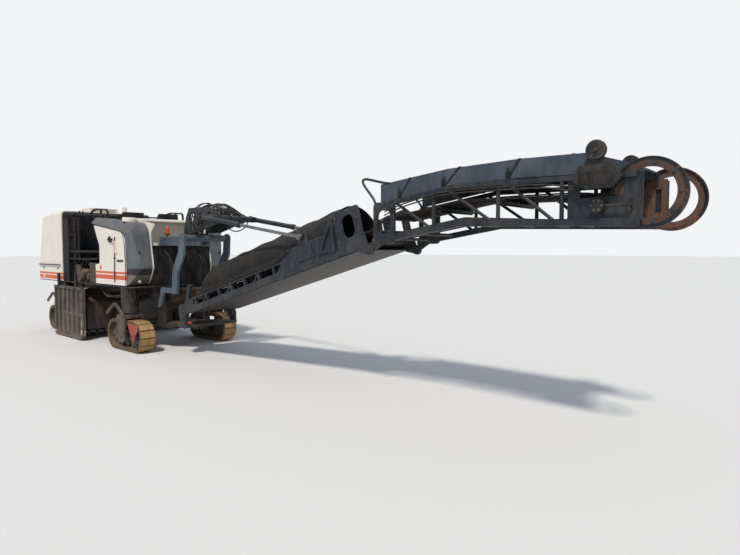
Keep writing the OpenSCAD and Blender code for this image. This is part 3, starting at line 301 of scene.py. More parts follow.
# %% The weathering group
# Heights are scaled by this for the noise of runs, which draws it out into upright streaks
RUN_SQUEEZE = 0.22
# Thrown-up dirt starts below the first height and is full at the second, in metres
SPLASH_TOP, SPLASH_FULL = 1.7, 0.1


def make_weathering():
    group = bpy.data.node_groups.new("weathering", "ShaderNodeTree")
    for name, value in (("Dust", 0.5), ("Rust", 0.2), ("Grain", 1.0)):
        socket = group.interface.new_socket(name, in_out="INPUT", socket_type="NodeSocketFloat")
        socket.default_value = value
    for name in ("Dust", "Rust", "Tone", "Height"):
        group.interface.new_socket(name, in_out="OUTPUT", socket_type="NodeSocketFloat")
    given = group.nodes.new("NodeGroupInput")
    made = group.nodes.new("NodeGroupOutput")
    place = node(group, "ShaderNodeTexCoord").outputs["Object"]
    tall = node(group, "ShaderNodeMapping", {"Vector": place, "Scale": (1, 1, RUN_SQUEEZE)})

    def noise(vector, scale, detail):
        size = times(group, given.outputs["Grain"], scale)
        look = {"Vector": vector, "Scale": size, "Detail": detail, "Roughness": 0.6}
        return node(group, "ShaderNodeTexNoise", look).outputs[0]

    patches = noise(place, 2.3, 5.0)
    specks = noise(place, 38.0, 4.0)
    runs = noise(tall.outputs[0], 13.0, 4.0)
    height = node(group, "ShaderNodeSeparateXYZ", {"Vector": place}).outputs["Z"]
    up = fade(group, normal_xyz(group)[2], 0.2, 0.95)
    low = fade(group, height, SPLASH_TOP, SPLASH_FULL)
    laid = weigh(group, up, 0.55, low, 0.5)
    uneven = plus(group, minus(group, patches, 0.42), minus(group, runs, 0.5))
    dust = plus(group, laid, times(group, uneven, 1.3))
    dust = maths(group, "MULTIPLY", dust, given.outputs["Dust"], clamp=True)
    blots = weigh(group, patches, 0.5, specks, 0.5)
    edge = minus(group, 0.68, times(group, given.outputs["Rust"], 0.25))
    reach = {"Value": blots, "From Min": edge, "From Max": plus(group, edge, 0.07)}
    rust = node(group, "ShaderNodeMapRange", reach).outputs[0]
    tone = weigh(group, patches, 0.6, runs, 0.4)
    for name, value in (("Dust", dust), ("Rust", rust), ("Tone", tone), ("Height", specks)):
        group.links.new(value, made.inputs[name])
    return group


weathering = make_weathering()
print("weathering nodes:", len(weathering.nodes))

# %% [markdown]
# ## Marks that follow the part
# Some colours change within one solid: bands along the body, the outer faces of the track pads,
# a red guard on each leg, the rim of a ring. Each is a mask from the place or the way a face
# points, so it stays on its solid when that solid turns.

# %% Colours of dirt and marks
DUST = (0.42, 0.31, 0.20, 1)
RUST = (0.16, 0.062, 0.028, 1)
# Near black, the painted shade on faces that look down
UNDERSIDE_SHADE = (0.014, 0.011, 0.009, 1)
ORANGE = (0.62, 0.105, 0.035, 1)
RED = (0.36, 0.018, 0.022)
LAMP_RED = (0.30, 0.012, 0.012, 1)
NEAR_BLACK = (0.012, 0.012, 0.013, 1)
RIM_BLACK = (0.022, 0.023, 0.026, 1)
FOOT_BLACK = (0.03, 0.028, 0.028, 1)
FOOT_METAL = (0.16, 0.14, 0.12, 1)
LINK_BROWN = (0.050, 0.034, 0.025, 1)
print("colours of dirt and marks set")

# %% Marks on the body
BAND_STEP_X = at(-1300, 0, 0).x
# Heights of the bands on the side panel, and how much lower they run on the rear panels
THIN_BAND, THICK_BAND, REAR_DROP = (1.615, 1.665), (1.495, 1.590), 0.105
SQUARE_X = (at(-1075, 0, 0).x, at(-985, 0, 0).x)
SQUARE_Z = (1.69, 1.79)
# The tank's foot: the top of its black band, and the top of the bare metal under it
FOOT_BAND_Z, FOOT_METAL_Z = 1.735, 1.60


def orange_bands(tree, paint):
    """A thin and a thick band along the side, lower behind BAND_STEP_X, and a small square."""
    x, y, z = object_xyz(tree)
    z = plus(tree, z, times(tree, below(tree, x, BAND_STEP_X), REAR_DROP))
    square = both(tree, between(tree, x, *SQUARE_X), between(tree, z, *SQUARE_Z))
    mask = either(tree, between(tree, z, *THIN_BAND), between(tree, z, *THICK_BAND))
    mask = either(tree, mask, square)
    level = above(tree, magnitude(tree, normal_xyz(tree)[2]), 0.7)
    return blend_colour(tree, both(tree, mask, minus(tree, 1.0, level)), paint, ORANGE)


def nose_band(tree, paint):
    """The tank's foot: a near-black band, and bare dirty metal under it."""
    z = object_xyz(tree)[2]
    paint = blend_colour(tree, below(tree, z, FOOT_BAND_Z), paint, FOOT_BLACK)
    return blend_colour(tree, below(tree, z, FOOT_METAL_Z), paint, FOOT_METAL)


# %% Marks on the running gear
# Half the distance between a track's end wheels, their height, and the radius where pads begin
TRACK_HALF, TRACK_R, PAD_LINE = 0.465, 0.325, 0.300
BETWEEN_AXLES_X = at(REAR_AXLE_X / 2, 0, 0).x
# Faces of the guard plates, from the middle plane, and the stretch of x that holds them
FRONT_GUARD_Y, FRONT_GUARD_FROM_X = (1.1495, 1.1640), at(200, 0, 0).x
REAR_GUARD_Y, REAR_GUARD_X = (0.9395, 0.9540), (at(-4000, 0, 0).x, at(-3000, 0, 0).x)


def pad_faces(tree, paint):
    """Tan on the pads' outer faces, dark on their cut sides and on the links under them."""
    x, y, z = object_xyz(tree)
    front = above(tree, x, BETWEEN_AXLES_X)
    axle = plus(tree, at(REAR_AXLE_X, 0, 0).x, times(tree, front, -REAR_AXLE_X / 1000))
    along = magnitude(tree, minus(tree, x, axle))
    past = either(tree, minus(tree, along, TRACK_HALF), 0.0)
    reach = distance(tree, past, minus(tree, z, TRACK_R))
    paint = blend_colour(tree, fade(tree, reach, PAD_LINE, PAD_LINE + 0.012), LINK_BROWN, paint)
    sideways = fade(tree, magnitude(tree, normal_xyz(tree)[1]), 0.5, 0.8)
    return blend_colour(tree, sideways, paint, LINK_BROWN)


def red_guard(tree, paint):
    """The thin guard plate ahead of each fork is red. It lies in one plane per axle."""
    x, y, z = object_xyz(tree)
    wide = magnitude(tree, y)
    front = both(tree, between(tree, wide, *FRONT_GUARD_Y), above(tree, x, FRONT_GUARD_FROM_X))
    rear = both(tree, between(tree, wide, *REAR_GUARD_Y), between(tree, x, *REAR_GUARD_X))
    return blend_colour(tree, either(tree, front, rear), paint, (*RED, 1))


# %% Marks on lamps and rings, and painted shade under the conveyor
BEACON_FOOT_Z = 2.487
TAIL_LAMP_X = at(-4000, 0, 0).x
RING, RING_RIM_R = on_upper(3540, 0, 560), 0.312


def beacon_foot(tree, paint):
    return blend_colour(tree, below(tree, object_xyz(tree)[2], BEACON_FOOT_Z), paint, NEAR_BLACK)


def tail_red(tree, paint):
    return blend_colour(tree, below(tree, object_xyz(tree)[0], TAIL_LAMP_X), paint, LAMP_RED)


def ring_rim(tree, paint):
    """The head rings are brown with rust, and their flanged rim is nearly black."""
    x, y, z = object_xyz(tree)
    reach = distance(tree, minus(tree, x, RING.x), minus(tree, z, RING.z))
    return blend_colour(tree, above(tree, reach, RING_RIM_R), paint, RIM_BLACK)


def painted_shade_below(tree, paint):
    """Faces that look down are darkened to near black: painted shade."""
    down = fade(tree, times(tree, normal_xyz(tree)[2], -1.0), 0.3, 0.9)
    return blend_colour(tree, down, paint, UNDERSIDE_SHADE)


# %% [markdown]
# ## Finishes
# A paint here is two tones of one colour, then dust, then rust. The function takes those colours
# and builds a material around the weathering group, so that a whole machine of different paints
# still looks as if it had stood in one yard. Floors get raised lozenges for grip.


# %% Building a finish
LOZENGE_WAVES = 105.0
DIRT_ROUGH = 0.92


def lozenges(tree):
    """Rows of small slanting ridges, as on chequer plate, on faces that look up."""
    x, y, z = object_xyz(tree)
    waves = [maths(tree, "SINE", weigh(tree, x, LOZENGE_WAVES, y, LOZENGE_WAVES * turn))
             for turn in (1, -1)]
    return fade(tree, both(tree, *waves, above(tree, normal_xyz(tree)[2], 0.9)), 0.45, 0.7)


def finish(name, colour, darker=0.75, rough=0.5, dust=0.45, rust=0.15, metal=0.0, bump=0.15,
           grain=1.0, shine=0.3, marks=None, tread=False):
    mat = bpy.data.materials.new(name)
    mat.use_nodes = True
    tree = mat.node_tree
    shader = tree.nodes["Principled BSDF"]
    shader.inputs["Specular IOR Level"].default_value = shine
    worn = node(tree, "ShaderNodeGroup", node_tree=weathering)
    for key, value in (("Dust", dust), ("Rust", rust), ("Grain", grain)):
        worn.inputs[key].default_value = value
    pale = (*colour, 1)
    dark = (*[c * darker for c in colour], 1)
    paint = blend_colour(tree, fade(tree, worn.outputs["Tone"], 0.38, 0.62), dark, pale)
    if marks:
        paint = marks(tree, paint)
    paint = blend_colour(tree, worn.outputs["Rust"], paint, RUST)
    paint = blend_colour(tree, worn.outputs["Dust"], paint, DUST)
    tree.links.new(paint, shader.inputs["Base Color"])
    dull = either(tree, worn.outputs["Dust"], worn.outputs["Rust"])
    span = node(tree, "ShaderNodeMapRange", {"Value": dull, "To Min": rough, "To Max": DIRT_ROUGH})
    tree.links.new(span.outputs[0], shader.inputs["Roughness"])
    if metal:
        bare = times(tree, maths(tree, "SUBTRACT", 1.0, dull, clamp=True), metal)
        tree.links.new(bare, shader.inputs["Metallic"])
    grit = node(tree, "ShaderNodeBump",
                {"Strength": bump, "Distance": 0.004, "Height": worn.outputs["Height"]})
    if tread:
        ridges = {"Strength": 0.8, "Distance": 0.003, "Height": lozenges(tree),
                  "Normal": grit.outputs[0]}
        grit = node(tree, "ShaderNodeBump", ridges)
    tree.links.new(grit.outputs[0], shader.inputs["Normal"])
    return mat


# %% The finishes
IVORY = (0.80, 0.76, 0.66)
LOOKS = {
    # The cover's blue grey is darkened to the tone of its side in shade: partly its paint, partly
    # painted shade
    "cover_grey_and_painted_shade": dict(colour=(0.058, 0.075, 0.098), dust=0.15, rust=0.08, rough=0.42),
    "strut_blue_grey": dict(colour=(0.100, 0.130, 0.155), dust=0.16, rust=0.08, rough=0.40),
    # The conveyor's faces that look down get painted shade
    "conveyor_grey": dict(colour=(0.023, 0.030, 0.038), dust=0.16, rust=0.14, rough=0.45,
                          marks=painted_shade_below),
    "tank_grey": dict(colour=(0.105, 0.118, 0.128), darker=0.85, dust=0.18, rust=0.03, rough=0.42,
                      marks=nose_band),
    "dark_grey": dict(colour=(0.016, 0.018, 0.020), dust=0.20, rust=0.16, rough=0.5),
    "leg_grey": dict(colour=(0.030, 0.032, 0.034), dust=0.30, rust=0.20, rough=0.55,
                     marks=red_guard),
    "off_white": dict(colour=IVORY, darker=0.88, dust=0.26, rust=0.02, rough=0.42),
    "banded_white": dict(colour=IVORY, darker=0.88, dust=0.28, rust=0.03, rough=0.42,
                         marks=orange_bands),
    "plate_grey": dict(colour=(0.042, 0.046, 0.050), dust=0.34, rust=0.24, rough=0.6, bump=0.3),
    "black": dict(colour=(0.010, 0.011, 0.013), dust=0.16, rust=0.06, rough=0.55),
    "black_deck": dict(colour=(0.009, 0.010, 0.012), dust=0.12, rust=0.05, rough=0.6, shine=0.2,
                       tread=True),
    "engine": dict(colour=(0.050, 0.041, 0.035), dust=0.5, rust=0.45, rough=0.6, bump=0.4,
                   grain=2.0),
    "rusty_steel": dict(colour=(0.105, 0.068, 0.050), dust=0.18, rust=0.60, rough=0.65, metal=0.3,
                        bump=0.4, marks=ring_rim),
    "cutter_steel": dict(colour=(0.13, 0.10, 0.08), dust=0.4, rust=0.6, rough=0.5, metal=0.6,
                         bump=0.4),
    "belt": dict(colour=(0.040, 0.034, 0.030), dust=0.6, rust=0.0, rough=0.85, bump=0.3),
    "pads": dict(colour=(0.42, 0.235, 0.07), darker=0.5, dust=0.30, rust=0.1, rough=0.75, bump=0.4,
                 marks=pad_faces),
    "rod": dict(colour=(0.30, 0.30, 0.31), darker=0.8, dust=0.15, rust=0.05, rough=0.3, metal=1.0,
                bump=0.02),
    "beacon": dict(colour=(0.55, 0.085, 0.015), darker=0.8, dust=0.1, rust=0.0, rough=0.2,
                   bump=0.02, shine=0.5, marks=beacon_foot),
    "lamp": dict(colour=(0.7, 0.7, 0.66), darker=0.9, dust=0.2, rust=0.0, rough=0.2, bump=0.05,
                 marks=tail_red),
    "red_paint": dict(colour=RED, darker=0.8, dust=0.3, rust=0.15, rough=0.5),
    "hose": dict(colour=(0.018, 0.018, 0.018), dust=0.2, rust=0.0, rough=0.6, bump=0.2, grain=3.0),
    "pipe": dict(colour=(0.055, 0.056, 0.058), dust=0.3, rust=0.25, rough=0.45, metal=0.5),
    "seal": dict(colour=(0.014, 0.014, 0.015), dust=0.15, rust=0.0, rough=0.75, grain=2.0),
    "sheet": dict(colour=(0.017, 0.018, 0.019), darker=0.8, dust=0.08, rust=0.0, rough=0.7,
                  bump=0.25, shine=0.2),
    "vinyl": dict(colour=(0.020, 0.020, 0.021), dust=0.3, rust=0.0, rough=0.5, bump=0.3,
                  grain=4.0),
    "bolts": dict(colour=(0.075, 0.075, 0.075), dust=0.3, rust=0.30, rough=0.5, metal=0.4),
    "label": dict(colour=(0.62, 0.62, 0.56), darker=0.9, dust=0.3, rust=0.0, rough=0.6, bump=0.02),
}
MATERIALS = {name: finish(name, **look) for name, look in LOOKS.items()}
print("finishes:", len(MATERIALS))

# %% Which node wears which finish
NODE_FINISH = {
    "cover_grey_and_painted_shade": ["upper_cover"],
    "strut_blue_grey": ["front_struts"],
    "conveyor_grey": ["swivel_yoke", "lower_frame", "upper_frame", "gallows", "luff_barrels"],
    "tank_grey": ["tank_right", "tank_left"],
    "dark_grey": ["main_frame", "column_guides", "lashing_lugs", "head_drive", "primary_frame",
                  "drum_housing"],
    "leg_grey": ["leg_front_right", "leg_front_left", "leg_rear_right", "leg_rear_left"],
    "off_white": ["engine_hood", "front_wall", "filler_caps"],
    "banded_white": ["rear_body", "side_panel_right", "side_panel_left"],
    "plate_grey": ["side_plate_right", "side_plate_left", "scraper_blade"],
    "black": ["handrails", "operator_station"],
    "black_deck": ["platform", "front_deck"],
    "engine": ["engine_block", "side_drives"],
    "rusty_steel": ["head_guards"],
    "cutter_steel": ["milling_drum"],
    "belt": ["primary_belt", "lower_belt", "upper_belt"],
    "pads": ["track_front_right", "track_front_left", "track_rear_right", "track_rear_left"],
    "rod": ["luff_rods"],
    "beacon": ["beacon"],
    "lamp": ["lamps"],
}


def wear(piece, material):
    piece.data.materials.clear()
    piece.data.materials.append(MATERIALS[material])


for material, names in NODE_FINISH.items():
    for name in names:
        wear(frame["nodes"][name], material)
print("painted nodes:", sum(len(names) for names in NODE_FINISH.values()))

# %% [markdown]
# ## Helpers for new pieces
# Small hardware is built as by hand: a primitive is added, shaped with the extrude and bevel
# tools, and joined with its neighbours. Each helper deselects its object at the end, so that the
# next operator acts on its own piece alone.


# %% Finishing a piece
def settle(objects, name, body, material):
    """Joins the objects, puts their place into the mesh, and gives the piece finish and body."""
    for o in objects:
        o.select_set(True)
    bpy.context.view_layer.objects.active = objects[0]
    if len(objects) > 1:
        bpy.ops.object.join()
    bpy.ops.object.transform_apply(location=True, rotation=True, scale=True)
    piece = bpy.context.object
    piece.name = name
    piece.data.name = name
    wear(piece, material)
    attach(piece, body)
    piece.select_set(False)
    return piece


def rounded(piece, width, segments=2):
    """Takes the hard rim off a piece."""
    rim = piece.modifiers.new("rim", "BEVEL")
    rim.width, rim.segments = width, segments
    bpy.context.view_layer.objects.active = piece
    bpy.ops.object.modifier_apply(modifier="rim")
    piece.select_set(False)
    return piece


# %% Plates, blocks and pins
def oblong(x0, z0, x1, z1):
    """The four corners of a rectangle, as an outline for a plate."""
    return [(x0, z0), (x1, z0), (x1, z1), (x0, z1)]


def plate(outline, low_y, high_y, place=at, rim=0.003):
    """A flat plate: a round face whose corners are pulled to the outline, extruded along y."""
    bpy.ops.mesh.primitive_circle_add(vertices=len(outline), radius=0.1, fill_type="NGON")
    piece = bpy.context.object
    for corner, (x, z) in zip(piece.data.vertices, outline):
        corner.co = place(x, low_y, z)
    bpy.ops.object.mode_set(mode="EDIT")
    bpy.ops.mesh.select_all(action="SELECT")
    thickness = place(0, high_y, 0) - place(0, low_y, 0)
    bpy.ops.mesh.extrude_region_move(TRANSFORM_OT_translate={"value": thickness})
    bpy.ops.mesh.select_all(action="SELECT")
    bpy.ops.mesh.normals_make_consistent(inside=False)
    bpy.ops.object.mode_set(mode="OBJECT")
    return rounded(piece, rim)


def block(low, high, rim=0.006):
    """A block between two scene points, with soft edges."""
    bpy.ops.mesh.primitive_cube_add(size=1, location=(low + high) / 2)
    piece = bpy.context.object
    piece.scale = [abs(h - l) for h, l in zip(high, low)]
    bpy.ops.object.transform_apply(location=True, scale=True)
    return rounded(piece, rim)


def pin(a, b, radius, sides=20, rim=0.003):
    """A bar between two scene points, softened where its faces meet at more than 50 degrees."""
    bpy.ops.mesh.primitive_cylinder_add(vertices=sides, radius=radius, depth=(b - a).length,
                                        location=(a + b) / 2)
    piece = bpy.context.object
    piece.rotation_euler = (b - a).to_track_quat("Z", "Y").to_euler()
    bpy.ops.object.transform_apply(location=True, rotation=True)
    bevel = piece.modifiers.new("rim", "BEVEL")
    bevel.width, bevel.segments, bevel.limit_method = rim, 2, "ANGLE"
    bevel.angle_limit = math.radians(50)
    bpy.ops.object.modifier_apply(modifier="rim")
    bpy.ops.object.shade_smooth_by_angle(angle=math.radians(40))
    piece.select_set(False)
    return piece


# %% Ribbons
MERGE = 1e-5


def ribbon(points, across, thickness):
    """A flat strip: one edge of a plane, extruded from point to point, then given thickness."""
    bpy.ops.mesh.primitive_plane_add(size=1)
    piece = bpy.context.object
    for corner, shift in zip(piece.data.vertices, (0, 1, 0, 1)):
        corner.co = points[0] + across * shift
    bpy.ops.object.mode_set(mode="EDIT")
    bpy.ops.mesh.select_all(action="SELECT")
    bpy.ops.mesh.remove_doubles(threshold=MERGE)
    for a, b in zip(points, points[1:]):
        bpy.ops.mesh.extrude_region_move(TRANSFORM_OT_translate={"value": b - a})
    bpy.ops.mesh.select_all(action="SELECT")
    bpy.ops.mesh.normals_make_consistent(inside=False)
    bpy.ops.object.mode_set(mode="OBJECT")
    wall = piece.modifiers.new("thickness", "SOLIDIFY")
    wall.thickness, wall.offset = thickness, 0
    bpy.ops.object.modifier_apply(modifier="thickness")
    piece.select_set(False)
    return piece


# %% [markdown]
# ## Hoses and pipes
# Hydraulic hoses lie in bundles over the gallows, along the conveyors and in the open bay behind
# the side panel. Each follows one smooth line through a few points, and both of its ends go into
# something solid. The line is drawn first and swept to a tube, because the eye follows the bends.


# %% Lines and tubes
def smooth_line(points, steps=9):
    """A Catmull-Rom line through the points, with steps pieces between each pair."""
    knots = [points[0] * 2 - points[1], *points, points[-1] * 2 - points[-2]]
    line = []
    for i in range(1, len(knots) - 2):
        p0, p1, p2, p3 = knots[i - 1:i + 3]
        for k in range(steps):
            t = k / steps
            line.append(0.5 * (2 * p1 + (p2 - p0) * t + (2 * p0 - 5 * p1 + 4 * p2 - p3) * t * t
                               + (3 * p1 - p0 - 3 * p2 + p3) * t ** 3))
    return line + [points[-1]]


def tube(line, diameter):
    curve = bpy.data.curves.new("line", "CURVE")
    curve.dimensions = "3D"
    curve.bevel_depth = diameter / 2
    curve.bevel_resolution = 2
    curve.use_fill_caps = True
    spline = curve.splines.new("POLY")
    spline.points.add(len(line) - 1)
    for knot, point in zip(spline.points, line):
        knot.co = (*point, 1)
    piece = bpy.data.objects.new("line", curve)
    bpy.context.collection.objects.link(piece)
    bpy.context.view_layer.objects.active = piece
    piece.select_set(True)
    bpy.ops.object.convert(target="MESH")
    piece = bpy.context.object
    bpy.ops.object.shade_smooth()
    piece.select_set(False)
    return piece


def hose(name, body, points, diameter):
    """A hose through the points. Eight stay undeclared, since 40 cords is the most."""
    line = smooth_line(points)
    piece = settle([tube(line, diameter)], name, body, "hose")
    length = sum((b - a).length for a, b in zip(line, line[1:]))
    return length


# %% Hoses of the gallows
random.seed(7)
GALLOWS_DIAMETERS = (0.022, 0.026, 0.030)
total = 0.0
# From the foot of the mast, up between its plates, and down to the cross beam
for i in range(9):
    y = -200 + 50 * i
    lift = random.uniform(-30, 70)
    total += hose(f"gallows_hose_{i + 1}", "swivel", spots([
        (1030 + 6 * i, y * 0.55, 2470), (1060, y * 0.7, 2660), (1170, y * 0.85, 2880),
        (1420, y, 3030 + lift), (1720, y * 1.05, 3060 + lift), (1980, y * 1.2, 2975 + lift / 2),
        (2130, y * 1.6, 2870), (2195, y * 2.2, 2790)]), random.choice(GALLOWS_DIAMETERS))
# Beside the mast: loose loops from its plates out to the ends of the cross beam
for side_name, s in SIDES:
    for i in range(3):
        z, sag = 2860 - 90 * i, 60 + 40 * i
        total += hose(f"mast_hose_{side_name}_{i + 1}", "swivel", spots([
            (1150 + 15 * i, 262, z), (1310 + 50 * i, 340, z + 20),
            (1560 + 40 * i, 430 + 15 * i, z - sag), (1820, 490 + 12 * i, z - sag - 10),
            (2040, 510 + 8 * i, z - 60), (2160, 500, 2765)], s), 0.024)
print("gallows hoses", round(total, 1), "m")

# %% Hoses in the open bays
total = 0.0
for side_name, s in SIDES:
    # From one drive box, over the pumps, to the next box
    for i in range(4):
        y = 860 + 62 * i
        peak = 1790 + random.uniform(0, 90)
        total += hose(f"bay_hose_{side_name}_{i + 1}", "chassis", spots([
            (-2360, y, 1560 + 45 * i), (-2290, y + 10, 1640 + 40 * i), (-2170, y + 20, peak),
            (-2000, y + 24, peak + 20), (-1840, y + 16, 1750 + 12 * i),
            (-1715, y, 1660 + 25 * i)], s), 0.028)
    # Down from the two short pipes by the post into the drive box under them
    for i, (x, y) in enumerate(((-2560, 1085), (-2420, 1060))):
        total += hose(f"drop_hose_{side_name}_{i + 1}", "chassis", spots([
            (x, y, 1960), (x, y, 1880), (x + 4, y - 16, 1825), (x + 8, y - 50, 1765)], s),
            0.028)
    # From under the deck to the guide tube of the front column
    for i in range(3):
        total += hose(f"column_hose_{side_name}_{i + 1}", "chassis", spots([
            (-1150 - 70 * i, 960 + 34 * i, 1342), (-1130 - 60 * i, 966 + 34 * i, 1240),
            (-960 - 30 * i, 975 + 30 * i, 1120 - 12 * i), (-620, 985 + 20 * i, 1090 + 14 * i),
            (-380, 990 + 10 * i, 1130 + 20 * i), (-180, 985 + 10 * i, 1200 + 20 * i)], s), 0.026)
    # Down the inner side of the strut, from the deck box to the lower eye
    for i in range(2):
        y = 415 - 40 * i
        total += hose(f"strut_hose_{side_name}_{i + 1}", "chassis", spots([
            (425, y, 2100 - 60 * i), (520, y, 2060 - 60 * i), (640, y - 4, 1900 - 60 * i),
            (660, y - 6, 1600), (600, y - 4, 1330), (470, y, 1230 - 40 * i)], s),
            0.024)
print("bay hoses", round(total, 1), "m")

# %% Hoses along the conveyors
total = 0.0
for side_name, s in SIDES:
    for i in range(2):
        low = 345 + 34 * i
        total += hose(f"rail_hose_{side_name}_{i + 1}", "lower_conveyor", spots([
            (560, 556, low - 20), (800, 576, low), (1500, 577, low - 6), (2300, 577, low + 4),
            (3000, 577, low - 4), (3350, 576, low + 60), (3500, 556, low + 80)], s, on_lower),
            0.022)
    for i in range(2):
        total += hose(f"chord_hose_{side_name}_{i + 1}", "upper_conveyor", spots([
            (260, 550, 520 - 50 * i), (420, 574, 560 - 40 * i), (760, 574, 640 - 36 * i),
            (1260, 574, 716 - 34 * i), (1900, 574, 722 - 34 * i), (2500, 574, 706 - 34 * i),
            (2760, 574, 670 - 40 * i), (2900, 566, 655 - 20 * i)], s, on_upper), 0.020)
print("conveyor hoses", round(total, 1), "m")

# %% [markdown]
# ## The sheet over the lower belt
# A heavy dark sheet is stretched over the hoops of the lower conveyor, so that dust stays in. It
# is cloth: one curved surface, with slack between the hoops and creases that run down from the
# crown. It is built as a grid of points over the same arch as the CAD solid, and then thickened.

# %% The arch and its creases
SHEET_FROM, SHEET_TO = 480, 4510
# The cross-section: height of the hem and of the arch's foot, rise of the arch, half its width
WALL_LOW, WALL_TOP, ARCH_RISE, HALF_WIDTH = 331, 530, 380, 500
ARCH_R = (HALF_WIDTH ** 2 + ARCH_RISE ** 2) / (2 * ARCH_RISE)
HALF_ANGLE = math.asin(HALF_WIDTH / ARCH_R)
# Distance of the hoops, slack between them, broad and fine folds, and how deep it all sits
HOOP_STEP, SLACK, FOLD, FINE_FOLD, SUNK = 620, 16, 7, 3, 6


def arch_line(share):
    """Point and outward direction at share 0..1, from one hem over the crown to the other."""
    wall, arch = WALL_TOP - WALL_LOW, 2 * HALF_ANGLE * ARCH_R
    s = share * (2 * wall + arch)
    if s < wall:
        return -HALF_WIDTH, WALL_LOW + s, -1.0, 0.0
    if s > wall + arch:
        return HALF_WIDTH, WALL_LOW + 2 * wall + arch - s, 1.0, 0.0
    angle = -HALF_ANGLE + (s - wall) / ARCH_R
    out_y, out_z = math.sin(angle), math.cos(angle)
    centre = WALL_TOP + ARCH_RISE - ARCH_R
    return ARCH_R * out_y, centre + ARCH_R * out_z, out_y, out_z


def crease(x, share):
    """How far the cloth stands out, in millimetres: slack between hoops, and slanting folds."""
    hoop = abs(math.sin(math.pi * (x - SHEET_FROM) / HOOP_STEP))
    side = 1 - abs(2 * share - 1)
    folds = math.sin(x / 47 + 9 * side) * math.sin(x / 190 + 3 * side + 1)
    fine = math.sin(x / 23 - 14 * side + 2) * math.sin(x / 81 + 7 * side)
    return -SLACK * hoop * (0.4 + side) + FOLD * folds * (1.1 - side) + FINE_FOLD * fine - SUNK


# %% The sheet
ROWS, COLUMNS = 150, 48
# The lower edge starts a little up the conveyor, and further up at the crown than at the hems
EDGE_MARGIN, EDGE_BOW = 12, 380
verts, faces = [], []
for i in range(ROWS + 1):
    for j in range(COLUMNS + 1):
        share = j / COLUMNS
        edge = abs(2 * share - 1) ** 3
        start = SHEET_FROM + EDGE_MARGIN + EDGE_BOW * (1 - edge)
        x = start + (SHEET_TO - start) * i / ROWS
        y, z, out_y, out_z = arch_line(share)
        out = crease(x, share)
        verts.append(on_lower(x, y + out_y * out, z + out_z * out))
for i in range(ROWS):
    for j in range(COLUMNS):
        a = i * (COLUMNS + 1) + j
        faces.append((a, a + 1, a + COLUMNS + 2, a + COLUMNS + 1))
cloth = bpy.data.meshes.new("belt_sheet")
cloth.from_pydata(verts, [], faces)
belt_sheet = bpy.data.objects.new("belt_sheet", cloth)
bpy.context.collection.objects.link(belt_sheet)
bpy.context.view_layer.objects.active = belt_sheet
belt_sheet.select_set(True)
thick = belt_sheet.modifiers.new("thick", "SOLIDIFY")
thick.thickness = 0.004
thick.offset = -1
bpy.ops.object.modifier_apply(modifier="thick")
bpy.ops.object.shade_smooth()
belt_sheet.select_set(False)
print("sheet points", len(verts))

# %% The sheet's finish and place
# The cloth is no larger than its flat size
wear(belt_sheet, "sheet")
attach(belt_sheet, "lower_conveyor")
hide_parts("lower_cover")

# %% [markdown]
# ## Bolt heads
# Plates are held by hexagon bolts. One head is modelled, a short six-sided prism on a washer with
# its rim bevelled, and each row of bolts is copies of that mesh joined into one piece per body.


# %% One bolt head
def bolt_master():
    bpy.ops.mesh.primitive_cylinder_add(vertices=6, radius=0.017, depth=0.014,
                                        location=(0, 0, 0.009))
    head = rounded(bpy.context.object, 0.002, 1)
    bpy.ops.mesh.primitive_cylinder_add(vertices=14, radius=0.024, depth=0.004,
                                        location=(0, 0, 0.001))
    washer = bpy.context.object
    head.select_set(True)
    washer.select_set(True)
    bpy.context.view_layer.objects.active = head
    bpy.ops.object.join()
    bpy.ops.object.transform_apply(location=True, rotation=True, scale=True)
    head.select_set(False)
    return head


master = bolt_master()


def bolts(name, body, places, s, size=1.0):
    """A bolt at each place, on side s. All copies are joined into one piece."""
    copies = []
    for point in places:
        copy = master.copy()
        copy.data = master.data.copy()
        bpy.context.collection.objects.link(copy)
        copy.location = point
        copy.scale = (size, size, size)
        copy.rotation_euler = Vector((0, s, 0)).to_track_quat("Z", "Y").to_euler()
        copies.append(copy)
    return settle(copies, name, body, "bolts")


def bolt_ring(x, y, z, radius, degrees):
    """Places on a circle in the upright plane y, at the given angles."""
    turns = [math.radians(d) for d in degrees]
    return [(x + radius * math.cos(a), y, z + radius * math.sin(a)) for a in turns]


print("bolt head faces", len(master.data.polygons))

# %% Where the bolts sit
# The elbow's side plates start this far up the lower conveyor
ELBOW_X = 4573
ELBOW_BOLTS = ((40, 90), (40, 250), (40, 420), (40, 600), (150, 660), (300, 660), (450, 640),
               (460, 500), (470, 330))
UPPER_ELBOW_BOLTS = ((90, 130), (90, 600), (400, 600), (400, 180), (240, 620))
MAST_BOLTS = ((1130, 2560), (1130, 2700), (1460, 2560), (1460, 2940), (1750, 2940), (2060, 2900),
              (2060, 2680))
# The side plate has six columns of bolts between its ribs, and the fifth stops under a notch
PLATE_Y, PLATE_X, PLATE_STEP, NOTCH_COLUMN, NOTCH_Z = 1206, -3431, 278.3, 4, 860
# Name, x and half gauge of each axle
AXLES = (("front", 0, 990), ("rear", REAR_AXLE_X, 780))
# The end wheel's hub, from the track's middle
WHEEL_X, WHEEL_Z = 465, 325

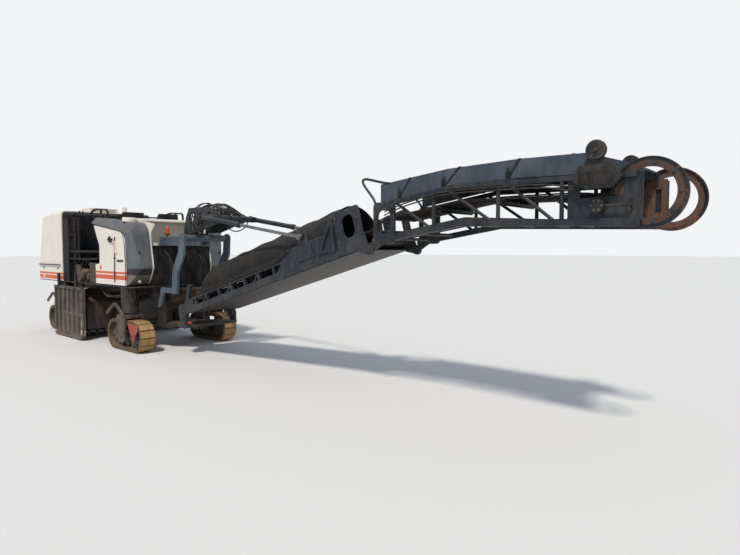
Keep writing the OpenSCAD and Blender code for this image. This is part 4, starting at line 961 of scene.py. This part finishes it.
for side_name, s in SIDES:
    bolts(f"elbow_bolts_{side_name}", "lower_conveyor",
          spots([(ELBOW_X + x, 580, z) for x, z in ELBOW_BOLTS], s, on_lower), s)
    bolts(f"upper_elbow_bolts_{side_name}", "upper_conveyor",
          spots([(x, 555, z) for x, z in UPPER_ELBOW_BOLTS], s, on_upper), s)
    bolts(f"plate_bolts_{side_name}", f"{side_name}_side_plate",
          spots([(PLATE_X + i * PLATE_STEP, PLATE_Y, z) for i in range(6)
                 for z in (300, 700, 960, 1140) if i != NOTCH_COLUMN or z < NOTCH_Z], s), s, 0.9)
    bolts(f"beam_bolts_{side_name}", "lower_conveyor",
          spots([(3450 + i * 180, 560, z) for i in range(6) for z in (190, 440)], s, on_lower),
          s, 0.8)
    bolts(f"mast_bolts_{side_name}", "swivel", spots([(x, 270, z) for x, z in MAST_BOLTS], s), s)
    bolts(f"ring_bolts_{side_name}", "upper_conveyor",
          spots(bolt_ring(3540, 494, 560, 285, range(-80, 100, 40)), s, on_upper), s)
    bolts(f"drive_bolts_{side_name}", "upper_conveyor",
          spots(bolt_ring(3090, 620, 445, 52, range(0, 360, 60)), s, on_upper), s, 0.7)
    for end_name, axle_x, gauge in AXLES:
        fork = [(axle_x + x, gauge + 205, z) for x in (-130, 130) for z in (300, 400, 620)]
        hub = bolt_ring(axle_x + WHEEL_X, gauge + 173, WHEEL_Z, 50, range(0, 360, 72))
        bolts(f"leg_bolts_{end_name}_{side_name}", f"{end_name}_{side_name}_track",
              spots(fork + hub, s), s, 0.8)
print("bolt pieces made")

# %% [markdown]
# ## Side panels
# The pale panel carries a black latch with a long lever, a recessed slot handle, a conduit held by
# clips, and a rubber seal round its edge. All of them are thin, so they are made from plates and
# bars that are pressed a little into the panel.

# %% Side panels
# Outer face of the side panel, and how far out the lock and the lamp sit on the tank's nose
PANEL_Y, NOSE_LOCK_Y, NOSE_LAMP_Y = 1150, 960, 937
SEAL_LINE = ((-1090, 1835), (-1090, 2240), (-1348, 2680), (-150, 2530), (0, 2500), (90, 2400),
             (141, 2160), (169, 1650), (169, 1390))
LATCH_TAB = [(-560, 2290), (-505, 2290), (-495, 2420), (-570, 2420)]
# Points of the conduit: x, distance from the panel, z
CONDUIT = ((-275, 10, 2400), (-280, 16, 2340), (-300, 15, 1900), (-315, 16, 1500), (-318, 2, 1440))
CLIPS, CLIP_HALF, CLIP_HEIGHT = ((-284, 2260), (-297, 1940), (-310, 1600)), 22, 26


def on_panel(outline, s, height, rim=0.003):
    """A plate on the panel of side s, pressed 2 mm into it."""
    return plate(outline, s * (PANEL_Y - 2), s * (PANEL_Y + height), rim=rim)


for side_name, s in SIDES:
    settle([on_panel(oblong(-640, 2330, -400, 2375), s, 14),
            on_panel(LATCH_TAB, s, 26, 0.008),
            pin(at(-532, s * PANEL_Y, 2352), at(-532, s * (PANEL_Y + 45), 2352), 0.022),
            pin(at(-532, s * (PANEL_Y + 38), 2352), at(-350, s * (PANEL_Y + 38), 2300), 0.013)],
           f"panel_latch_{side_name}", "chassis", "black")
    settle([on_panel(oblong(-210, 1878, 80, 1918), s, 8, 0.006),
            on_panel(oblong(-180, 1890, 50, 1904), s, 20)],
           f"panel_slot_{side_name}", "chassis", "seal")
    conduit = spots([(x, PANEL_Y + off, z) for x, off, z in CONDUIT], s)
    clips = [on_panel(oblong(x - CLIP_HALF, z, x + CLIP_HALF, z + CLIP_HEIGHT), s, 28)
             for x, z in CLIPS]
    settle([tube(smooth_line(conduit), 0.020), *clips],
           f"panel_conduit_{side_name}", "chassis", "pipe")
    seal = smooth_line([at(x, s * (PANEL_Y - 1), z) for x, z in SEAL_LINE], 5)
    settle([tube(seal, 0.012)], f"panel_seal_{side_name}", "chassis", "seal")
    # A round lock and a small lamp on the tank's nose
    settle([pin(at(380, s * NOSE_LOCK_Y, 2073), at(418, s * NOSE_LOCK_Y, 2066), 0.030, 28),
            pin(at(400, s * NOSE_LOCK_Y, 2069), at(424, s * NOSE_LOCK_Y, 2064), 0.014, 16)],
           f"nose_lock_{side_name}", "chassis", "pipe")
    settle([pin(at(330, s * NOSE_LAMP_Y, 1464), at(362, s * NOSE_LAMP_Y, 1462), 0.030, 28, 0.006)],
           f"nose_lamp_{side_name}", "chassis", "lamp")
print("side panel hardware made")

# %% [markdown]
# ## Rear panels
# A dark rail runs along each rear panel, just under the hood, on three stand-offs. Below it sit
# two small latches with round knobs, and on the right a plate that stays blank.

# %% Rear panel hardware
# Points of the rail at its rear end: x, distance from the panel, z. The other end mirrors them
RAIL_END = ((-4800, 2, 1745), (-4780, 25, 1752), (-4700, 32, 1754))
RAIL_MIDDLE_X = -4100
RAIL = [*RAIL_END, *((2 * RAIL_MIDDLE_X - x, off, z) for x, off, z in reversed(RAIL_END))]
LATCHES_X = (-4600, -3600)
for side_name, s in SIDES:
    rail = spots([(x, PANEL_Y + off, z) for x, off, z in RAIL], s)
    stands = [pin(at(x, s * (PANEL_Y - 1), 1754), at(x, s * (PANEL_Y + 32), 1754), 0.012)
              for x in (-4450, -4100, -3750)]
    settle([tube(smooth_line(rail), 0.028), *stands],
           f"hood_rail_{side_name}", "chassis", "black")
    latches = [block(at(x, s * (PANEL_Y - 2), 1650), at(x + 70, s * (PANEL_Y + 12), 1690), 0.005)
               for x in LATCHES_X]
    latches += [pin(at(x, s * (PANEL_Y + 5), 1670), at(x, s * (PANEL_Y + 20), 1670), 0.014)
                for x in (rear + 35 for rear in LATCHES_X)]
    settle(latches, f"rear_latches_{side_name}", "chassis", "black")
settle([plate(oblong(-4640, 1420, -4480, 1470), -1152, -1149, rim=0.001)],
       "rear_blank_plate", "chassis", "label")
print("rear panel hardware made")

# %% [markdown]
# ## Bays, side plates and the red lever
# In the open bays stand valve blocks with their fittings, among the pumps and drive boxes of the
# CAD part. The side plates carry two blank labels each. A red lever sits beside the swivel yoke,
# on the right.

# %% Bays and side plates
VALVE_STEP = 55
FITTINGS = ((-2250, 1420), (-1900, 1390), (-1650, 1380), (-1330, 1410))
for side_name, s in SIDES:
    valves = [block(at(-2030, s * 800, 1362), at(-1760, s * 980, 1440), 0.008)]
    for i in range(5):
        x = -2005 + VALVE_STEP * i
        valves.append(block(at(x, s * 830, 1438), at(x + 42, s * 950, 1500 + 14 * (i % 2)), 0.005))
        valves.append(pin(at(x + 21, s * 948, 1470), at(x + 21, s * 1000, 1470), 0.014, 12))
    settle(valves, f"valve_block_{side_name}", "chassis", "engine")
    fittings = []
    for x, z in FITTINGS:
        fittings += [pin(at(x, s * 1090, z), at(x, s * 1142, z), 0.020, 12),
                     pin(at(x, s * 1100, z), at(x, s * 1118, z), 0.030, 6)]
        fittings.append(block(at(x - 30, s * 1060, 1359), at(x + 30, s * 1100, z + 30), 0.006))
    settle(fittings, f"bay_fittings_{side_name}", "chassis", "pipe")
    labels = [plate(outline, s * (PLATE_Y - 3), s * (PLATE_Y + 3), rim=0.002)
              for outline in (oblong(-2075, 125, -1840, 245), oblong(-2040, 300, -1960, 470))]
    settle(labels, f"plate_label_{side_name}", f"{side_name}_side_plate", "label")

# %% The red lever
LEVER = [(1190, 640), (1560, 700), (1640, 690), (1650, 655), (1560, 640), (1300, 600), (1190, 590)]
settle([plate(LEVER, -548, -522, rim=0.008),
        pin(at(1230, -560, 618), at(1230, -500, 618), 0.026),
        pin(at(1600, -560, 672), at(1600, -505, 672), 0.020)],
       "red_lever", "swivel", "red_paint")
print("bay details, labels and lever made")

# %% [markdown]
# ## Operator's seats and consoles
# Each seat has a padded cushion and backrest in black vinyl. A cushion starts as a block that is
# divided, blown up in its middle, pressed in along one channel and drawn in along its sides.


# %% Cushions
def cushion(name, low, high, lean=0.0):
    """A padded block: crowned on top, its sides drawn in between the corners."""
    bpy.ops.mesh.primitive_cube_add(size=1, location=(0, 0, 0))
    pad = bpy.context.object
    bpy.ops.object.mode_set(mode="EDIT")
    bpy.ops.mesh.select_all(action="SELECT")
    bpy.ops.mesh.subdivide(number_cuts=7)
    bpy.ops.object.mode_set(mode="OBJECT")
    size, middle = high - low, (low + high) / 2
    for v in pad.data.vertices:
        x, y, z = (2 * c for c in v.co)
        crown = (1 - x * x) * (1 - y * y)
        draw = 1 - 0.06 * (1 - z * z) - 0.04 * (1 - x * x if abs(y) > 0.99 else 1 - y * y)
        channel = 0.10 * math.exp(-((x - 0.1) / 0.09) ** 2) * (1 - y * y) if z > 0.9 else 0.0
        corner = 1 - 0.12 * max(0.0, abs(x) + abs(y) - 1.5)
        v.co = Vector((x * draw * corner * size.x / 2, y * draw * corner * size.y / 2,
                       (z * (0.78 + 0.22 * crown) - channel * z) * size.z / 2))
    pad.rotation_euler = (0, lean, 0)
    pad.location = middle
    bpy.ops.object.transform_apply(location=True, rotation=True)
    soft = pad.modifiers.new("soft", "SUBSURF")
    soft.levels = soft.render_levels = 1
    bpy.ops.object.modifier_apply(modifier="soft")
    bpy.ops.object.shade_smooth()
    settle([pad], name, "chassis", "vinyl")


# %% Seats and console levers
SEAT_Y, SEAT_HALF, BACK_HALF, BACK_LEAN = 430, 215, 205, math.radians(83)
for side_name, s in SIDES:
    seat_y = s * SEAT_Y
    cushion(f"seat_cushion_{side_name}",
            at(-1960, seat_y - SEAT_HALF, 2405), at(-1525, seat_y + SEAT_HALF, 2495))
    cushion(f"seat_back_{side_name}",
            at(-2125, seat_y - BACK_HALF, 2625), at(-1735, seat_y + BACK_HALF, 2705), BACK_LEAN)
    levers = []
    for i, y in enumerate((-150, -50, 60, 150)):
        foot = at(-1180 + 20 * (i % 2), seat_y + y, 2790 + 20 * (i % 2))
        knob_low, knob_high = foot + Vector((-0.02, 0, 0.055)), foot + Vector((-0.025, 0, 0.085))
        levers.append(pin(foot, foot + Vector((-0.02, 0, 0.06)), 0.007, 10))
        levers.append(pin(knob_low, knob_high, 0.016, 14, 0.006))
    settle(levers, f"console_levers_{side_name}", "chassis", "black")
print("seats made")

# %% [markdown]
# ## Upper conveyor
# Rubber lips lie over the joints of the cover panels, with a clamp at each end. A bent tube stands
# on each side at the rear as a handle. On top of the head are the rollers on which the folded
# conveyor rests, and each gets a dished end with a bolt, spun from its section. On each side
# of the motor housing a near-black plate stands for a recess; its darkness is painted shade.

# %% Cover lips and their clamps
# Each joint: x at the cover's foot and at its top, heights there, and half the cover's width
COVER_JOINTS = ((460, 640, 695, 946, 500), (1160, 1400, 785, 1012, 500),
                (2040, 2180, 812, 1026, 500), (2770, 2775, 803, 1018, 458))
LIP_GAP, LIP_WIDTH, LIP_THICKNESS = 5, Vector((0.030, 0, 0)), 0.009
lips, clamps = [], []
for x, top_x, base, top, half in COVER_JOINTS:
    edge = half + LIP_GAP
    lips.append(ribbon(spots([(x, -edge, base), (top_x, -edge, top + LIP_GAP),
                              (top_x, edge, top + LIP_GAP), (x, edge, base)], 1, on_upper),
                       LIP_WIDTH, LIP_THICKNESS))
    for s in (-1, 1):
        clamps.append(block(on_upper(x - 8, s * (half + 2), base + 20),
                            on_upper(x + 42, s * (half + 20), base + 90), 0.005))
        clamps.append(pin(on_upper(x + 17, s * (half + 16), base + 30),
                          on_upper(x + 17, s * (half + 16), base + 130), 0.008))
settle(lips, "cover_lips", "upper_conveyor", "seal")
settle(clamps, "cover_clamps", "upper_conveyor", "black")
print("cover joints", len(lips))

# %% Handles
HANDLE = ((120, 548, 560), (60, 548, 700), (-110, 530, 880), (-165, 520, 960), (-140, 515, 992),
          (-60, 505, 985), (180, 498, 925), (300, 490, 905))
handles = [tube(smooth_line(spots(HANDLE, s, on_upper)), 0.036) for s in (-1, 1)]
settle(handles, "cover_handles", "upper_conveyor", "conveyor_grey")
print("handles", len(handles))

# %% Rest rollers and the housing's recess, a plate of painted shade
# Section of a roller's dished end: radius, and distance outwards along the axle, in metres
DISH = ((0.000, 0.062), (0.028, 0.062), (0.034, 0.056), (0.072, 0.056), (0.080, 0.066),
        (0.092, 0.066), (0.096, 0.060))
ROLLER_AXLE, ROLLER_Y, DISH_WALL = on_upper(3070, 0, 1010), 0.556, 0.004
# Outline of the near-black plate that stands for the housing's recess as painted shade
RECESS_SHADE = [(2945, 650), (3215, 650), (3270, 725), (3215, 800), (2925, 800), (2900, 715)]


def dished_end(s):
    """The section as a line of points, spun round the axle and given a wall."""
    bpy.ops.mesh.primitive_circle_add(vertices=len(DISH), radius=0.1, fill_type="NOTHING")
    dish = bpy.context.object
    for v, (radius, out) in zip(dish.data.vertices, DISH):
        v.co = (ROLLER_AXLE.x, s * (ROLLER_Y + out), ROLLER_AXLE.z + radius)
    bpy.ops.object.mode_set(mode="EDIT")
    bpy.ops.mesh.select_all(action="DESELECT")
    bpy.ops.object.mode_set(mode="OBJECT")
    # The edge from the last point back to the first would close the section
    closing = max(dish.data.edges, key=lambda e: abs(e.vertices[0] - e.vertices[1]))
    closing.select = True
    bpy.ops.object.mode_set(mode="EDIT")
    bpy.ops.mesh.delete(type="EDGE_FACE")
    bpy.ops.mesh.select_all(action="SELECT")
    bpy.ops.mesh.spin(steps=40, angle=math.tau, center=(ROLLER_AXLE.x, 0, ROLLER_AXLE.z),
                      axis=(0, 1, 0))
    bpy.ops.mesh.select_all(action="SELECT")
    bpy.ops.mesh.remove_doubles(threshold=MERGE)
    bpy.ops.mesh.normals_make_consistent(inside=False)
    bpy.ops.object.mode_set(mode="OBJECT")
    wall = dish.modifiers.new("wall", "SOLIDIFY")
    wall.thickness = DISH_WALL
    bpy.ops.object.modifier_apply(modifier="wall")
    bpy.ops.object.shade_smooth_by_angle(angle=math.radians(35))
    dish.select_set(False)
    return dish


for side_name, s in SIDES:
    bolt_in, bolt_out = (ROLLER_AXLE + Vector((0, s * y, 0)) for y in (0.60, 0.632))
    settle([dished_end(s), pin(bolt_in, bolt_out, 0.024, 6)],
           f"rest_roller_{side_name}", "upper_conveyor", "pipe")
    # A near-black plate on each side of the housing is painted shade for a recess
    settle([plate(RECESS_SHADE, s * 638, s * 644, on_upper, 0.004)],
           f"housing_recess_shade_{side_name}", "upper_conveyor", "seal")
print("rollers and recesses made")

# %% [markdown]
# ## Sizes and the end
# The spare bolt head is removed, and the box round the visual model is computed.

# %% Finish
bpy.data.objects.remove(master)
low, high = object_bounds()
